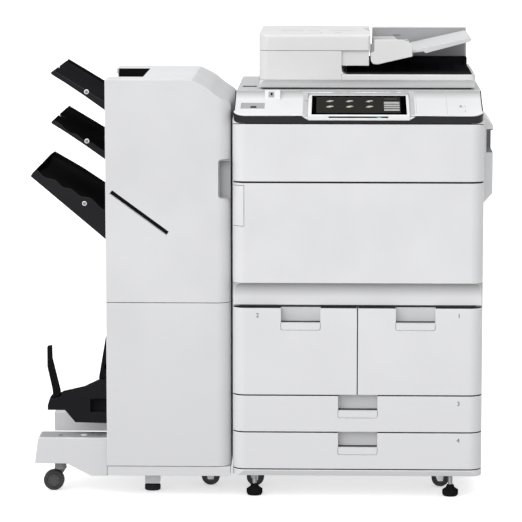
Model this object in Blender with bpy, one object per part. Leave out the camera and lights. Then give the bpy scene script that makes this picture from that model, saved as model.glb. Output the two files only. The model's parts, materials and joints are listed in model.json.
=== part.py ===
"""Office photocopier with an inline finisher, as an assembly of separate parts.

Every size below is in millimetres; world() turns it into metres.
Drawing frame: X from the middle of the main unit, D is the depth behind its front face, Z up.
"""

import math

import bpy
import bmesh

OBJECT_NAME = "photocopier"

# Placing: the middle of the whole machine's box goes to the origin, with the floor at Z = 0.
SHIFT_X = 256.2
HALF_DEPTH = 388.0
MM = 0.001
GAP = 0.3
ARC_STEPS = 6

# Main unit
HALF_WIDTH = 335.0
CORNER = 36.0
PANEL_DEPTH = 38.0
REAR = 779.0
SKIRT_BOTTOM = 63.0
SKIRT_TOP = 81.7
SIDE_TOP = 1027.0
BAND_FLAT = 1027.3
TILT = 0.2493
DECK_FRONT_Z = 1037.0
READER_TOP = 1090.0
READER_DEPTH = (165.3, 680.0)

# Front panels: bottom and top of each
DRAWER_4 = (83.0, 181.7)
DRAWER_3 = (184.3, 282.2)
DECKS = (284.9, 520.0)
DOOR = (526.0, 855.6)
TONER_COVER = (859.3, 1012.1)
TONER_HINGE = (4.0, 863.0)
TONER_SWEEP = 150.4

# Document feeder
FEEDER_X = (-268.0, 316.0)
FEEDER_D = (175.0, 600.0)
FEEDER_RIM = (1092.3, 1132.0)
FEEDER_SEAM = 1196.0
FEEDER_TOP = 1240.0

# Finisher
FIN_LEFT = -674.0
FIN_RIGHT = -339.3
FIN_FRONT = 15.0
FIN_DOOR_BACK = 50.0
FIN_BACK = 566.0
FIN_TOP = 1128.0
FIN_SEAM = 530.3
TRAY_STEP = 132.0

# Running gear
CASTER_RADIUS = 24.0
OUTRIGGER_RADIUS = 28.0
FOOT_RADIUS = 21.7

COLOURS = {
    "shell_white": ((0.80, 0.80, 0.82), 0.45, 0.0),
    "shell_grey": ((0.62, 0.63, 0.65), 0.5, 0.0),
    "trim_dark": ((0.035, 0.035, 0.04), 0.45, 0.0),
    "tray_black": ((0.012, 0.012, 0.013), 0.5, 0.0),
    "frame_grey": ((0.30, 0.31, 0.32), 0.55, 0.0),
    "steel": ((0.60, 0.61, 0.62), 0.3, 1.0),
    "glass_clear": ((0.75, 0.85, 0.85), 0.05, 0.0),
    "screen_dark": ((0.03, 0.03, 0.035), 0.1, 0.0),
    "tyre_rubber": ((0.03, 0.03, 0.03), 0.8, 0.0),
    "toner_blue": ((0.10, 0.18, 0.35), 0.5, 0.0),
}


def world(x, d, z):
    """A point of the drawing frame, in metres in the scene."""
    return ((x + SHIFT_X) * MM, (d - HALF_DEPTH) * MM, z * MM)


def clear_scene():
    for item in list(bpy.data.objects):
        bpy.data.objects.remove(item, do_unlink=True)


def new_collection(name, helper):
    made = bpy.data.collections.new(name)
    bpy.context.scene.collection.children.link(made)
    made.hide_render = helper
    return made


def new_material(name):
    colour, roughness, metallic = COLOURS[name]
    made = bpy.data.materials.new(name)
    made.use_nodes = True
    shader = made.node_tree.nodes["Principled BSDF"]
    shader.inputs["Base Color"].default_value = (*colour, 1.0)
    shader.inputs["Roughness"].default_value = roughness
    shader.inputs["Metallic"].default_value = metallic
    made.diffuse_color = (*colour, 1.0)
    return made


clear_scene()
PARTS = new_collection(OBJECT_NAME, False)
CUTTERS = new_collection("cutters", True)
MATERIALS = {name: new_material(name) for name in COLOURS}

# Where the two outline numbers and the extrusion level go, for each direction of extrusion.
PLACE = {
    "X": lambda u, v, w: world(w, u, v),
    "D": lambda u, v, w: world(u, w, v),
    "Z": lambda u, v, w: world(u, v, w),
}


def mesh_object(name, mesh):
    bmesh.ops.recalc_face_normals(mesh, faces=mesh.faces)
    data = bpy.data.meshes.new(name)
    mesh.to_mesh(data)
    mesh.free()
    made = bpy.data.objects.new(name, data)
    PARTS.objects.link(made)
    return made


def prism(name, axis, outline, low, high):
    """An outline extruded along one axis from low to high."""
    mesh = bmesh.new()
    place = PLACE[axis]
    first = [mesh.verts.new(place(u, v, low)) for u, v in outline]
    last = [mesh.verts.new(place(u, v, high)) for u, v in outline]
    mesh.faces.new(first)
    mesh.faces.new(last)
    count = len(outline)
    for i in range(count):
        j = (i + 1) % count
        mesh.faces.new((first[i], first[j], last[j], last[i]))
    return mesh_object(name, mesh)


def box(name, x, d, z):
    outline = [(x[0], d[0]), (x[1], d[0]), (x[1], d[1]), (x[0], d[1])]
    return prism(name, "Z", outline, z[0], z[1])


def circle(u, v, radius, sides):
    turn = 2 * math.pi / sides
    return [
        (u + radius * math.cos(i * turn), v + radius * math.sin(i * turn))
        for i in range(sides)
    ]


def turned(name, axis, centre, profile, sides):
    """A profile of (radius, level) pairs turned about a line along one axis."""
    mesh = bmesh.new()
    place = PLACE[axis]
    rings = []
    for radius, level in profile:
        points = circle(centre[0], centre[1], radius, sides)
        rings.append([mesh.verts.new(place(u, v, level)) for u, v in points])
    mesh.faces.new(rings[0])
    mesh.faces.new(rings[-1])
    for lower, upper in zip(rings, rings[1:]):
        for i in range(sides):
            j = (i + 1) % sides
            mesh.faces.new((lower[i], lower[j], upper[j], upper[i]))
    return mesh_object(name, mesh)


def arc(u, v, radius, start, end, steps=ARC_STEPS):
    """Points on an arc, with the angles in degrees."""
    points = []
    for i in range(steps + 1):
        angle = math.radians(start + (end - start) * i / steps)
        points.append((u + radius * math.cos(angle), v + radius * math.sin(angle)))
    return points


def combine(part, operation, tools):
    for tool in tools:
        PARTS.objects.unlink(tool)
        CUTTERS.objects.link(tool)
        tool.hide_render = True
        tool.display_type = "WIRE"
        step = part.modifiers.new(tool.name, "BOOLEAN")
        step.operation = operation
        step.solver = "MANIFOLD"
        step.object = tool


def cut(part, *tools):
    combine(part, "DIFFERENCE", tools)


def fuse(part, *tools):
    combine(part, "UNION", tools)


def paint(material, *parts):
    for part in parts:
        part.data.materials.clear()
        part.data.materials.append(MATERIALS[material])


def front_outline(left, right, round_left, round_right):
    """Plan of a front panel; a rounded end wraps onto the side of the machine."""
    points = [(left, PANEL_DEPTH)]
    if round_left:
        points += arc(left + CORNER, CORNER, CORNER, 180, 270)
    else:
        points.append((left, 0.0))
    if round_right:
        points += arc(right - CORNER, CORNER, CORNER, 270, 360)
    else:
        points.append((right, 0.0))
    points.append((right, PANEL_DEPTH))
    return points


def tilted(depth, height):
    """Height of a plane parallel to the control panel, at this depth."""
    return height + TILT * depth


# ---------------------------------------------------------------- main unit body


def make_frame():
    side = [(40, 82), (745, 82), (745, SIDE_TOP), (62, SIDE_TOP), (40, 1021)]
    frame = prism("main_frame", "X", side, -318, 318)
    bays = [
        box("bay_drawer_4", (-306, 306), (39, 640), (86, 180)),
        box("bay_drawer_3", (-306, 306), (39, 640), (186, 280)),
        box("bay_deck_left", (-306, -3), (39, 640), (287, 519)),
        box("bay_deck_right", (3, 306), (39, 640), (287, 519)),
        box("bay_engine", (-306, 306), (39, 620), (527, 852)),
        box("bay_toner", (-306, 306), (39, 600), (862, 1009)),
    ]
    cut(frame, *bays)
    paint("frame_grey", frame)


def plan_rounded(half, front_radius, rear_radius, front, rear):
    points = arc(-half + front_radius, front + front_radius, front_radius, 180, 270)
    points += arc(half - front_radius, front + front_radius, front_radius, 270, 360)
    points += arc(half - rear_radius, rear - rear_radius, rear_radius, 0, 90)
    points += arc(-half + rear_radius, rear - rear_radius, rear_radius, 90, 180)
    return points


def make_skirt():
    plan = plan_rounded(HALF_WIDTH, CORNER, 30, 0, REAR)
    skirt = prism("base_skirt", "Z", plan, SKIRT_BOTTOM, SKIRT_TOP)
    cheeks = []
    for x in (-260, 260):
        for low in (622.0, 654.0):
            outline = [(x - 16, 70), (x - 8, 16), (x + 8, 16), (x + 16, 70)]
            cheeks.append(prism(f"cheek_{x}_{low:.0f}", "D", outline, low, low + 4))
    fuse(skirt, *cheeks)
    paint("shell_grey", skirt)


def corner_waste(name, sign):
    """What lies outside the rounded front corner on one side."""
    centre = HALF_WIDTH - CORNER
    curve = arc(-centre, CORNER, CORNER, 270, 180)
    plan = [(-HALF_WIDTH - 4, CORNER), (-HALF_WIDTH - 4, -4), (-centre, -4)] + curve
    return prism(name, "Z", [(-sign * x, d) for x, d in plan], 1000, 1030)


def make_side_cover(name, sign):
    plate = [(38.3, 82.3), (745, 82.3), (745, SIDE_TOP), (57, SIDE_TOP), (38.3, 1022.1)]
    outer = sign * HALF_WIDTH
    inner = sign * 318.3
    cover = prism(name, "X", plate, min(outer, inner), max(outer, inner))
    under = []
    for depth in (8.0, 18.0, 28.0, 39.5):
        reach = depth - TONER_HINGE[0]
        under.append((depth, TONER_HINGE[1] + math.sqrt(TONER_SWEEP**2 - reach**2)))
    filler = under + [(39.5, 1022.4), (8.0, 1014.6)]
    tip = sign * 300
    horn = prism(f"{name}_filler", "X", filler, min(outer, tip), max(outer, tip))
    cut(horn, corner_waste(f"{name}_corner", sign))
    fuse(cover, horn)
    paint("shell_white", cover)
    return cover


def make_sides():
    make_side_cover("left_cover", -1)
    right = make_side_cover("right_cover", 1)
    cut(right, box("bypass_niche", (327, 337), (186, 514), (790, 1012)))


def make_rear_cover():
    plan = [(HALF_WIDTH, 745.3)]
    plan += arc(HALF_WIDTH - 30, REAR - 30, 30, 0, 90)
    plan += arc(-HALF_WIDTH + 30, REAR - 30, 30, 90, 180)
    plan.append((-HALF_WIDTH, 745.3))
    cover = prism("rear_cover", "Z", plan, 82.3, SIDE_TOP)
    tools = [box("power_inlet", (216, 250), (762, 780), (120, 144))]
    for row in range(6):
        low = 640 + 16 * row
        tools.append(box(f"vent_left_{row}", (-240, -90), (760, 780), (low, low + 6)))
        tools.append(box(f"vent_right_{row}", (90, 240), (760, 780), (low, low + 6)))
    cut(cover, *tools)
    paint("shell_white", cover)


# ---------------------------------------------------------------- scanner and panel


def make_reader():
    reader = box("reader_housing", (-328, 332), READER_DEPTH, (BAND_FLAT, READER_TOP))
    cut(
        reader,
        box("glass_rebate", (-215.3, 255.3), (204.7, 545.3), (1086, 1092)),
        box("scan_well", (-205, 245), (213, 537), (1042, 1088)),
    )
    glass = box("platen_glass", (-215, 255), (205, 545), (1086.3, 1089.7))
    carriage_plan = [(-203, 1044), (-163, 1044), (-163, 1062), (-171, 1072), (-195, 1072), (-203, 1062)]
    carriage = prism("scan_carriage", "D", carriage_plan, 216, 534)
    paint("shell_white", reader)
    paint("glass_clear", glass)
    paint("tray_black", carriage)


def touch_pocket(name):
    outline = [(-9, 1021.9), (4.2, 1021.9), (158.5, 1060.4), (158.5, 1100), (-9, 1100)]
    return prism(name, "X", outline, -134.5, 136.5)


def rounded_strip(name, side, half, radius):
    """A profile across the panel with its two front corners rounded in plan."""
    strip = prism(name, "X", side, -half, half)
    for sign in (-1, 1):
        centre = half - radius
        curve = arc(-centre, radius, radius, 270, 180)
        plan = [(-half - 4, radius), (-half - 4, -4), (-centre, -4)] + curve
        waste = prism(f"{name}_corner_{sign}", "Z", [(-sign * x, d) for x, d in plan], 1000, 1100)
        cut(strip, waste)
    return strip


def make_panel():
    band_side = [
        (4.0, 1014.2),
        (56.5, BAND_FLAT),
        (164.7, BAND_FLAT),
        (164.7, tilted(164.7, 1033.3)),
        (4.0, tilted(4.0, 1033.3)),
    ]
    band = rounded_strip("panel_band", band_side, 331, 33)
    cut(band, touch_pocket("band_pocket"))
    deck_side = [
        (0.0, 1033.6),
        (164.7, tilted(164.7, 1033.6)),
        (164.7, 1089.6),
        (154.0, 1081.0),
        (139.0, 1073.4),
        (118.0, tilted(118.0, DECK_FRONT_Z)),
        (0.0, DECK_FRONT_Z),
    ]
    deck = rounded_strip("panel_deck", deck_side, 332, 35)
    sensor = [(119, 1064.6), (119, 1070), (148, 1090.6), (164.7, 1090.6), (164.7, 1076.5)]
    fuse(deck, prism("sensor_block", "X", sensor, -251, -210))
    port = [(51, tilted(51, 1035.0)), (102, tilted(102, 1035.0)), (102, 1075), (51, 1060)]
    cut(deck, touch_pocket("deck_pocket"), prism("port_recess", "X", port, -314, -250))
    paint("trim_dark", band)
    paint("shell_white", deck)


def make_touch_panel():
    side = [
        (-3.0, 1036.8),
        (-3.0, 1024.5),
        (-1.0, 1022.5),
        (4.0, 1022.5),
        (158.0, 1061.0),
        (158.0, tilted(158.0, 1038.4)),
        (-1.5, tilted(-1.5, 1038.4)),
    ]
    panel = prism("touch_panel", "X", side, -134, 136)
    seat = [
        (0.7, tilted(0.7, 1036.1)),
        (153.3, tilted(153.3, 1036.1)),
        (153.3, 1090),
        (0.7, 1050),
    ]
    cut(panel, prism("screen_seat", "X", seat, -124.3, 128.3))
    slab = [
        (1.0, tilted(1.0, 1036.4)),
        (153.0, tilted(153.0, 1036.4)),
        (153.0, tilted(153.0, 1038.5)),
        (1.0, tilted(1.0, 1038.5)),
    ]
    screen = prism("touch_screen", "X", slab, -124, 128)
    paint("shell_white", panel)
    paint("screen_dark", screen)


# ---------------------------------------------------------------- doors and drawers


def make_toner_cover():
    plan = front_outline(-HALF_WIDTH, HALF_WIDTH, True, True)
    cover = prism("toner_cover", "Z", plan, TONER_COVER[0], 1013)
    slope = [(-2, TONER_COVER[1] + 0.2), (40, 1008.0), (40, 1020), (-2, 1020)]
    cut(cover, prism("toner_cover_slope", "X", slope, -340, 340))
    paint("shell_white", cover)


def grip_outline(grow):
    """Plan of the grip piece in the door's left corner, grown by a clearance."""
    inside = -304 + grow
    if grow:
        return [(-342, 36 + grow), (-342, -4), (inside, -4), (inside, 20 + grow), (-320, 36 + grow)]
    curve = arc(-HALF_WIDTH + CORNER, CORNER, CORNER, 180, 262)
    return curve + [(-304, 20), (-320, 36)]


def make_front_door():
    plan = front_outline(-HALF_WIDTH, HALF_WIDTH, True, True)
    door = prism("front_door", "Z", plan, DOOR[0], DOOR[1])
    scoop = [(-1, 580), (12, 577.5), (20, 571), (22, 563), (17, 549), (5, 530), (-1, 524)]
    cut(
        door,
        prism("door_scoop", "X", scoop, -340, 340),
        prism("grip_seat", "Z", grip_outline(0.3), 739.7, 848.3),
    )
    grip = prism("front_door_grip", "Z", grip_outline(0), 740, 848)
    paint("shell_white", door, grip)


def handle_tool(name, middle, top):
    """The finger hollow that opens at a drawer panel's top edge."""
    outline = [(-2, top + 2), (25, top + 2), (25, top - 12), (19, top - 24), (4, top - 39), (-2, top - 39)]
    return prism(name, "X", outline, middle - 52.5, middle + 52.5)


def make_drawer(name, front_x, levels, handle_x, bin_x, bin_z):
    rounded = (front_x[0] == -HALF_WIDTH, front_x[1] == HALF_WIDTH)
    plan = front_outline(front_x[0], front_x[1], rounded[0], rounded[1])
    front = prism(f"{name}_front", "Z", plan, levels[0], levels[1])
    cut(front, handle_tool(f"{name}_handle", handle_x, levels[1]))
    tub = box(f"{name}_bin", bin_x, (PANEL_DEPTH + 0.3, 620), bin_z)
    inside = (bin_x[0] + 3, bin_x[1] - 3)
    cut(tub, box(f"{name}_inside", inside, (46, 614), (bin_z[0] + 3, bin_z[1] + 2)))
    paint("shell_white", front)
    paint("frame_grey", tub)


def make_drawers():
    make_drawer("deck_left", (-HALF_WIDTH, -1.4), DECKS, -152, (-300, -9), (291, 505))
    make_drawer("deck_right", (1.4, HALF_WIDTH), DECKS, 155, (9, 300), (291, 505))
    full = (-HALF_WIDTH, HALF_WIDTH)
    make_drawer("drawer_3", full, DRAWER_3, 1.5, (-300, 300), (190, 270))
    make_drawer("drawer_4", full, DRAWER_4, 1.5, (-300, 300), (90, 170))


def make_engine():
    side = [(-270, 540), (270, 540), (270, 655), (240, 690), (-240, 690), (-270, 655)]
    unit = prism("drum_unit", "D", side, 48, 560)
    fuse(unit, box("drum_pull", (-60, 60), (42, 50), (600, 625)))
    profile = [(40, 46), (62, 52), (66, 60), (66, 470), (50, 490), (50, 520)]
    bottle = turned("toner_bottle", "D", (120, 935), profile, 20)
    paint("trim_dark", unit)
    paint("toner_blue", bottle)


# ---------------------------------------------------------------- document feeder


def make_feeder_base():
    side = [
        (200, 1092.3),
        (600, 1092.3),
        (600, 1132),
        (177, 1132),
        (175, 1130),
        (175, 1117),
        (180, 1113),
        (190, 1103),
    ]
    base = prism("feeder_base", "X", side, FEEDER_X[0], FEEDER_X[1])
    fuse(base, box("feeder_wall", (36, 307), (564, 600), (1130, 1233)))
    paint("shell_white", base)


def make_feeder_body():
    side = [
        (-268, 1132.3),
        (-32, 1132.3),
        (-38, 1134.0),
        (-43, 1139.0),
        (-45, 1147.0),
        (-45, 1155.0),
        (29, 1155.0),
        (29, FEEDER_SEAM),
        (-268, FEEDER_SEAM),
    ]
    body = prism("feeder_body", "D", side, 176, 598)
    cut(
        body,
        box("feeder_well", (-220, 14), (230, 545), (1166, 1200)),
        box("feeder_mouth", (10, 32), (230, 545), (1176, 1200)),
    )
    profile = [(5, 234), (5, 330), (13, 330), (13, 450), (5, 450), (5, 541)]
    roller = turned("pickup_roller", "D", (-4, 1182), profile, 16)
    paint("shell_white", body)
    paint("tyre_rubber", roller)


def make_feeder_cover():
    side = [
        (176, 1196.3),
        (598, 1196.3),
        (598, 1234),
        (592, 1240),
        (200, 1240),
        (186, 1238),
        (178, 1232),
        (176, 1224),
    ]
    cover = prism("feeder_top_cover", "X", side, -268, 33)
    cut(cover, box("feeder_cover_hollow", (-258, 25), (188, 586), (1190, 1231)))
    paint("shell_white", cover)


def make_exit_tray():
    tray = box("feeder_exit_tray", (-31, 306), (182, 561), (1132.3, 1136.3))
    back = [(-31, 1134), (306, 1134), (306, 1157), (31, 1157), (31, 1154.5), (-31, 1154.5)]
    upstand = prism("exit_upstand", "D", back, 552, 561)
    stop = [(296, 1134), (306, 1134), (306, 1157), (302, 1157)]
    fuse(tray, upstand, prism("exit_end", "D", stop, 500, 556))
    paint("tray_black", tray)


def make_document_tray():
    side = [(34, 1158), (146, 1183), (146, 1217), (112, 1229), (42, 1229), (34, 1222)]
    tray = prism("document_tray", "D", side, 178, 558)
    channel = [(30, 1170), (150, 1197), (150, 1235), (30, 1235)]
    cut(tray, prism("tray_channel", "D", channel, 190, 546))
    leaf = [
        (146.6, 1183),
        (165, 1184),
        (300, 1219.5),
        (306, 1224),
        (305, 1229),
        (298, 1230),
        (146.6, 1196),
    ]
    extension = prism("document_tray_extension", "D", leaf, 191, 545)
    paint("shell_white", tray, extension)


def make_document_guides():
    for name, low, high in (("document_guide_front", 232, 240), ("document_guide_rear", 496, 504)):
        side = [(48, 1174.7), (140, 1195.4), (140, 1208), (56, 1199), (48, 1193)]
        guide = prism(name, "D", side, low, high)
        paint("shell_grey", guide)


# ---------------------------------------------------------------- bypass tray


def make_bypass():
    side = [(335.4, 1019), (343, 1018), (365.6, 995), (365.6, 810), (340, 781.5), (335.4, 781.5)]
    tray = prism("bypass_tray", "D", side, 180, 520)
    cut(
        tray,
        box("bypass_grip", (352, 370), (176, 300), (921, 984)),
        box("bypass_pocket", (334, 343.5), (198, 502), (800, 1030)),
    )
    leaf = box("bypass_extension", (336, 342.8), (199, 501), (802, 1010))
    cut(leaf, box("extension_notch", (330, 345), (310, 390), (990, 1012)))
    paint("shell_white", tray)
    paint("shell_grey", leaf)


# ---------------------------------------------------------------- running gear


def make_leveler(name, x, d, pad, top):
    profile = [(FOOT_RADIUS - 2, 0), (FOOT_RADIUS, 2), (FOOT_RADIUS, pad - 2), (FOOT_RADIUS - 3, pad), (7, pad), (7, top)]
    paint("tray_black", turned(name, "Z", (x, d), profile, 20))


def make_caster(fork_name, wheel_name, x, d, radius, top, trail, stem=19, both_cheeks=True):
    """A swivel fork with cheeks in front of and behind the wheel, or only behind it, and the wheel."""
    axle_x = x + trail
    fork = turned(fork_name, "Z", (x, d), [(stem, 2 * radius + 3), (stem, top)], 16)
    cheek = [
        (axle_x - 7, radius - 8),
        (axle_x + 7, radius - 8),
        (x + 17, 2 * radius + 6),
        (x - 17, 2 * radius + 6),
    ]
    fuse(fork, prism(f"{fork_name}_far", "D", cheek, d + 13, d + 15.5))
    if both_cheeks:
        fuse(fork, prism(f"{fork_name}_near", "D", cheek, d - 15.5, d - 13))
    edge = radius - 2
    profile = [(edge, d - 12), (radius, d - 10), (radius, d + 10), (edge, d + 12)]
    wheel = turned(wheel_name, "D", (axle_x, radius), profile, 24)
    paint("steel", fork)
    paint("tyre_rubber", wheel)


def make_running_gear():
    make_leveler("leveler_left", -277, 56, 26, SKIRT_BOTTOM - GAP)
    make_leveler("leveler_right", 253, 56, 26, SKIRT_BOTTOM - GAP)
    for side, x in (("left", -284), ("right", 224)):
        top = SKIRT_BOTTOM - GAP
        make_caster(f"caster_fork_{side}", f"caster_wheel_{side}", x, 180, CASTER_RADIUS, top, 6)
    for side, x in (("left", -260), ("right", 260)):
        radius = CASTER_RADIUS
        profile = [(radius - 2, 628), (radius, 630), (radius, 650), (radius - 2, 652)]
        wheel = turned(f"rear_wheel_{side}", "D", (x, radius), profile, 24)
        paint("tyre_rubber", wheel)


# ---------------------------------------------------------------- finisher


def make_finisher_frame():
    side = [(-671, 60), (-343, 60), (-343, 1044), (-354, 1056), (-448, 1112), (-671, 1112)]
    frame = prism("finisher_frame", "D", side, 50.4, 560)
    toe = box("finisher_toe", (-673, -341), (17, 60), (58, 83.6))
    shelf = box("booklet_support", (-838, -660), (250, 400), (135, 187))
    cheeks = []
    for low in (168.0, 198.0):
        outline = [(-417, 70), (-409, 17), (-393, 17), (-385, 70)]
        cheeks.append(prism(f"finisher_cheek_{low:.0f}", "D", outline, low, low + 4))
    rear_foot = prism("finisher_rear_foot", "Z", circle(-620, 500, 20, 16), 0, 70)
    foot_post = box("finisher_foot_post", (-577, -537), (95, 135), (20, 70))
    fuse(frame, toe, shelf, rear_foot, foot_post, *cheeks)
    cut(
        frame,
        box("finisher_well", (-680, -576), (128, 465), (1046, 1120)),
        box("finisher_bay_low", (-655, -360), (49, 520), (100, 515)),
        box("finisher_bay_high", (-655, -360), (49, 520), (545, 1030)),
        box("finisher_inlet", (-362, -340), (140, 460), (900, 916)),
        box("exit_2", (-680, -652), (140, 450), (912, 932)),
        box("exit_3", (-680, -652), (140, 450), (780, 800)),
        box("exit_booklet", (-680, -652), (140, 450), (360, 380)),
    )
    paint("shell_grey", frame)


def make_exit_liner():
    """Black tub in the top left of the finisher, open on top and on the left."""
    tub = box("finisher_exit_liner", (-668, -580), (131, 462), (1046.4, 1127))
    inside = box("liner_inside", (-690, -584), (135, 458), (1051, 1140))
    cut(tub, inside)
    paint("tray_black", tub)


def make_finisher_top():
    outline = [
        (FIN_LEFT, FIN_TOP),
        (-442, FIN_TOP),
        (-347, 1072.5),
        (-341, 1066),
        (FIN_RIGHT, 1059),
        (FIN_RIGHT, 1046),
        (-342.6, 1046),
        (-342.6, 1044.4),
        (-353.6, 1056.4),
        (-447.8, 1112.4),
        (FIN_LEFT, 1112.4),
    ]
    cover = prism("finisher_top_cover", "D", outline, FIN_DOOR_BACK + 0.4, FIN_BACK)
    cut(cover, box("top_well", (-690, -579.6), (130.6, 462.4), (1000, 1140)))
    paint("shell_white", cover)


def finisher_corner(name, low, high):
    centre = FIN_RIGHT - 33
    middle = FIN_FRONT + 33
    curve = arc(centre, middle, 33, 270, 360)
    plan = [(centre, FIN_FRONT - 4), (FIN_RIGHT + 4, FIN_FRONT - 4), (FIN_RIGHT + 4, middle)]
    return prism(name, "Z", plan + curve[::-1], low, high)


def make_finisher_doors():
    upper = [
        (FIN_LEFT, FIN_SEAM + 0.7),
        (FIN_RIGHT, FIN_SEAM + 0.7),
        (FIN_RIGHT, 1059),
        (-341, 1066),
        (-347, 1072.5),
        (-442, FIN_TOP),
        (FIN_LEFT, FIN_TOP),
    ]
    door = prism("finisher_door_upper", "D", upper, FIN_FRONT, FIN_DOOR_BACK)
    slot = [(-660.2, 821.4), (-511.7, 712.4), (-506.3, 719.6), (-654.8, 828.6)]
    cut(
        door,
        finisher_corner("upper_door_corner", 500, 1140),
        prism("staple_slot", "D", slot, 10, 30),
        box("door_grip", (-371.5, -330), (5, 38), (813, 915)),
        box("door_grip_undercut", (-384, -370), (26, 38), (820, 908)),
    )
    lower = box("finisher_door_lower", (FIN_LEFT, FIN_RIGHT), (FIN_FRONT, FIN_DOOR_BACK), (84, FIN_SEAM))
    cut(lower, finisher_corner("lower_door_corner", 70, 540))
    paint("shell_white", door, lower)


def make_output_tray(name, drop):
    """One of the two upper trays: a sloping floor between two side flanges."""
    floor = [(-821, 1144.5), (-674.6, 1056.6), (-674.6, 1048), (-821, 1139)]
    flange = [(-821, 1141.8), (-736, 1085), (-674.6, 1041.5), (-674.6, 1064), (-740, 1104), (-815, 1149)]
    tray = prism(name, "D", [(x, z - drop) for x, z in floor], 60, 530)
    near = prism(f"{name}_near", "D", [(x, z - drop) for x, z in flange], 60, 68)
    far = prism(f"{name}_far", "D", [(x, z - drop) for x, z in flange], 522, 530)
    boss = prism(f"{name}_boss", "D", circle(-725.7, 1092.6 - drop, 8.5, 12), 57, 64)
    fuse(tray, near, far, boss)
    notch = prism(f"{name}_notch", "Z", circle(-826, 290, 22, 16), 900, 1200)
    cut(tray, notch)
    paint("tray_black", tray)


def make_large_tray():
    floor = [(-868, 874), (-675.6, 766), (-675.6, 757), (-868, 868)]
    flange = [(-878, 866), (-675.6, 695), (-675.6, 767), (-685, 773), (-783, 838), (-861, 883)]
    tray = prism("output_tray_3", "D", floor, 56, 575)
    near = prism("large_tray_near", "D", flange, 56, 66)
    far = prism("large_tray_far", "D", flange, 565, 575)
    boss = prism("large_tray_boss", "D", circle(-733, 793, 8.5, 12), 53, 60)
    lip = [(-878, 866), (-868, 860), (-864, 881), (-872, 875)]
    fuse(tray, near, far, boss, prism("large_tray_lip", "D", lip, 60, 570))
    cut(tray, prism("large_tray_notch", "Z", circle(-880, 315, 26, 16), 800, 950))
    paint("tray_black", tray)


def make_booklet_parts():
    """A tray whose near side plate is the tall one, its stopper post and the flap above it."""
    side = [
        (-833.0, 260.0),
        (-840.0, 237.5),
        (-840.0, 225.0),
        (-793.0, 225.0),
        (-765.0, 191.5),
        (-674.6, 189),
        (-674.6, 310),
        (-699, 308),
        (-740.5, 288),
        (-800, 274),
        (-803, 262),
        (-826, 255),
    ]
    bed = [(-780, 222), (-762, 196), (-674.6, 193), (-674.6, 262), (-727, 246), (-780, 229.5)]
    tray = prism("booklet_tray", "D", side, 80, 104)
    fuse(tray, prism("booklet_bed", "D", bed, 100, 400))
    cut(tray, box("booklet_notch", (-724, -670), (70, 110), (219, 257)))
    post = [
        (-840.2, 397.9),
        (-828.3, 399.6),
        (-827.7, 364.3),
        (-809.8, 289.6),
        (-806.5, 276),
        (-806.5, 266.0),
        (-825, 260.0),
        (-827.1, 283.9),
        (-840.1, 343.7),
    ]
    stopper = prism("booklet_stopper", "D", post, 84, 112)
    flap_side = [(-681.5, 424), (-679, 424), (-680.5, 368), (-687, 337), (-678, 337), (-678, 311), (-701, 311), (-692, 362)]
    flap = prism("booklet_flap", "D", flap_side, 90, 106)
    far_side = [(-681.5, 424), (-679, 424), (-680.5, 368), (-687, 337), (-678, 337), (-678, 264), (-696, 264), (-701, 311), (-692, 362)]
    fuse(flap, prism("flap_far", "D", far_side, 105, 398))
    paint("tray_black", tray, stopper, flap)


def make_outrigger():
    side = [(-875.4, 81), (-865, 153), (-674.4, 153), (-674.4, 48), (-721.4, 48), (-787.8, 81)]
    arm = prism("outrigger_arm", "D", side, 60, 150)
    paint("shell_white", arm)
    make_caster("outrigger_fork", "outrigger_wheel", -808, 104, OUTRIGGER_RADIUS, 80.6, -18, 16, False)


def make_finisher_gear():
    profile = [(FOOT_RADIUS - 2, 0), (FOOT_RADIUS, 2), (FOOT_RADIUS, 14), (FOOT_RADIUS - 3, 16.5), (7, 16.5), (7, 19.6)]
    foot = turned("finisher_foot", "Z", (-557, 114), profile, 20)
    wheel_profile = [(CASTER_RADIUS - 1, 173), (CASTER_RADIUS + 1, 175), (CASTER_RADIUS + 1, 195), (CASTER_RADIUS - 1, 197)]
    wheel = turned("finisher_wheel", "D", (-401, CASTER_RADIUS + 1), wheel_profile, 24)
    paint("tray_black", foot)
    paint("tyre_rubber", wheel)


make_frame()
make_skirt()
make_sides()
make_rear_cover()
make_reader()
make_panel()
make_touch_panel()
make_toner_cover()
make_front_door()
make_drawers()
make_engine()
make_feeder_base()
make_feeder_body()
make_feeder_cover()
make_exit_tray()
make_document_tray()
make_document_guides()
make_bypass()
make_running_gear()
make_finisher_frame()
make_exit_liner()
make_finisher_top()
make_finisher_doors()
make_output_tray("output_tray_1", 0.0)
make_output_tray("output_tray_2", TRAY_STEP)
make_large_tray()
make_booklet_parts()
make_outrigger()
make_finisher_gear()
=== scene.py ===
import json
import math

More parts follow.
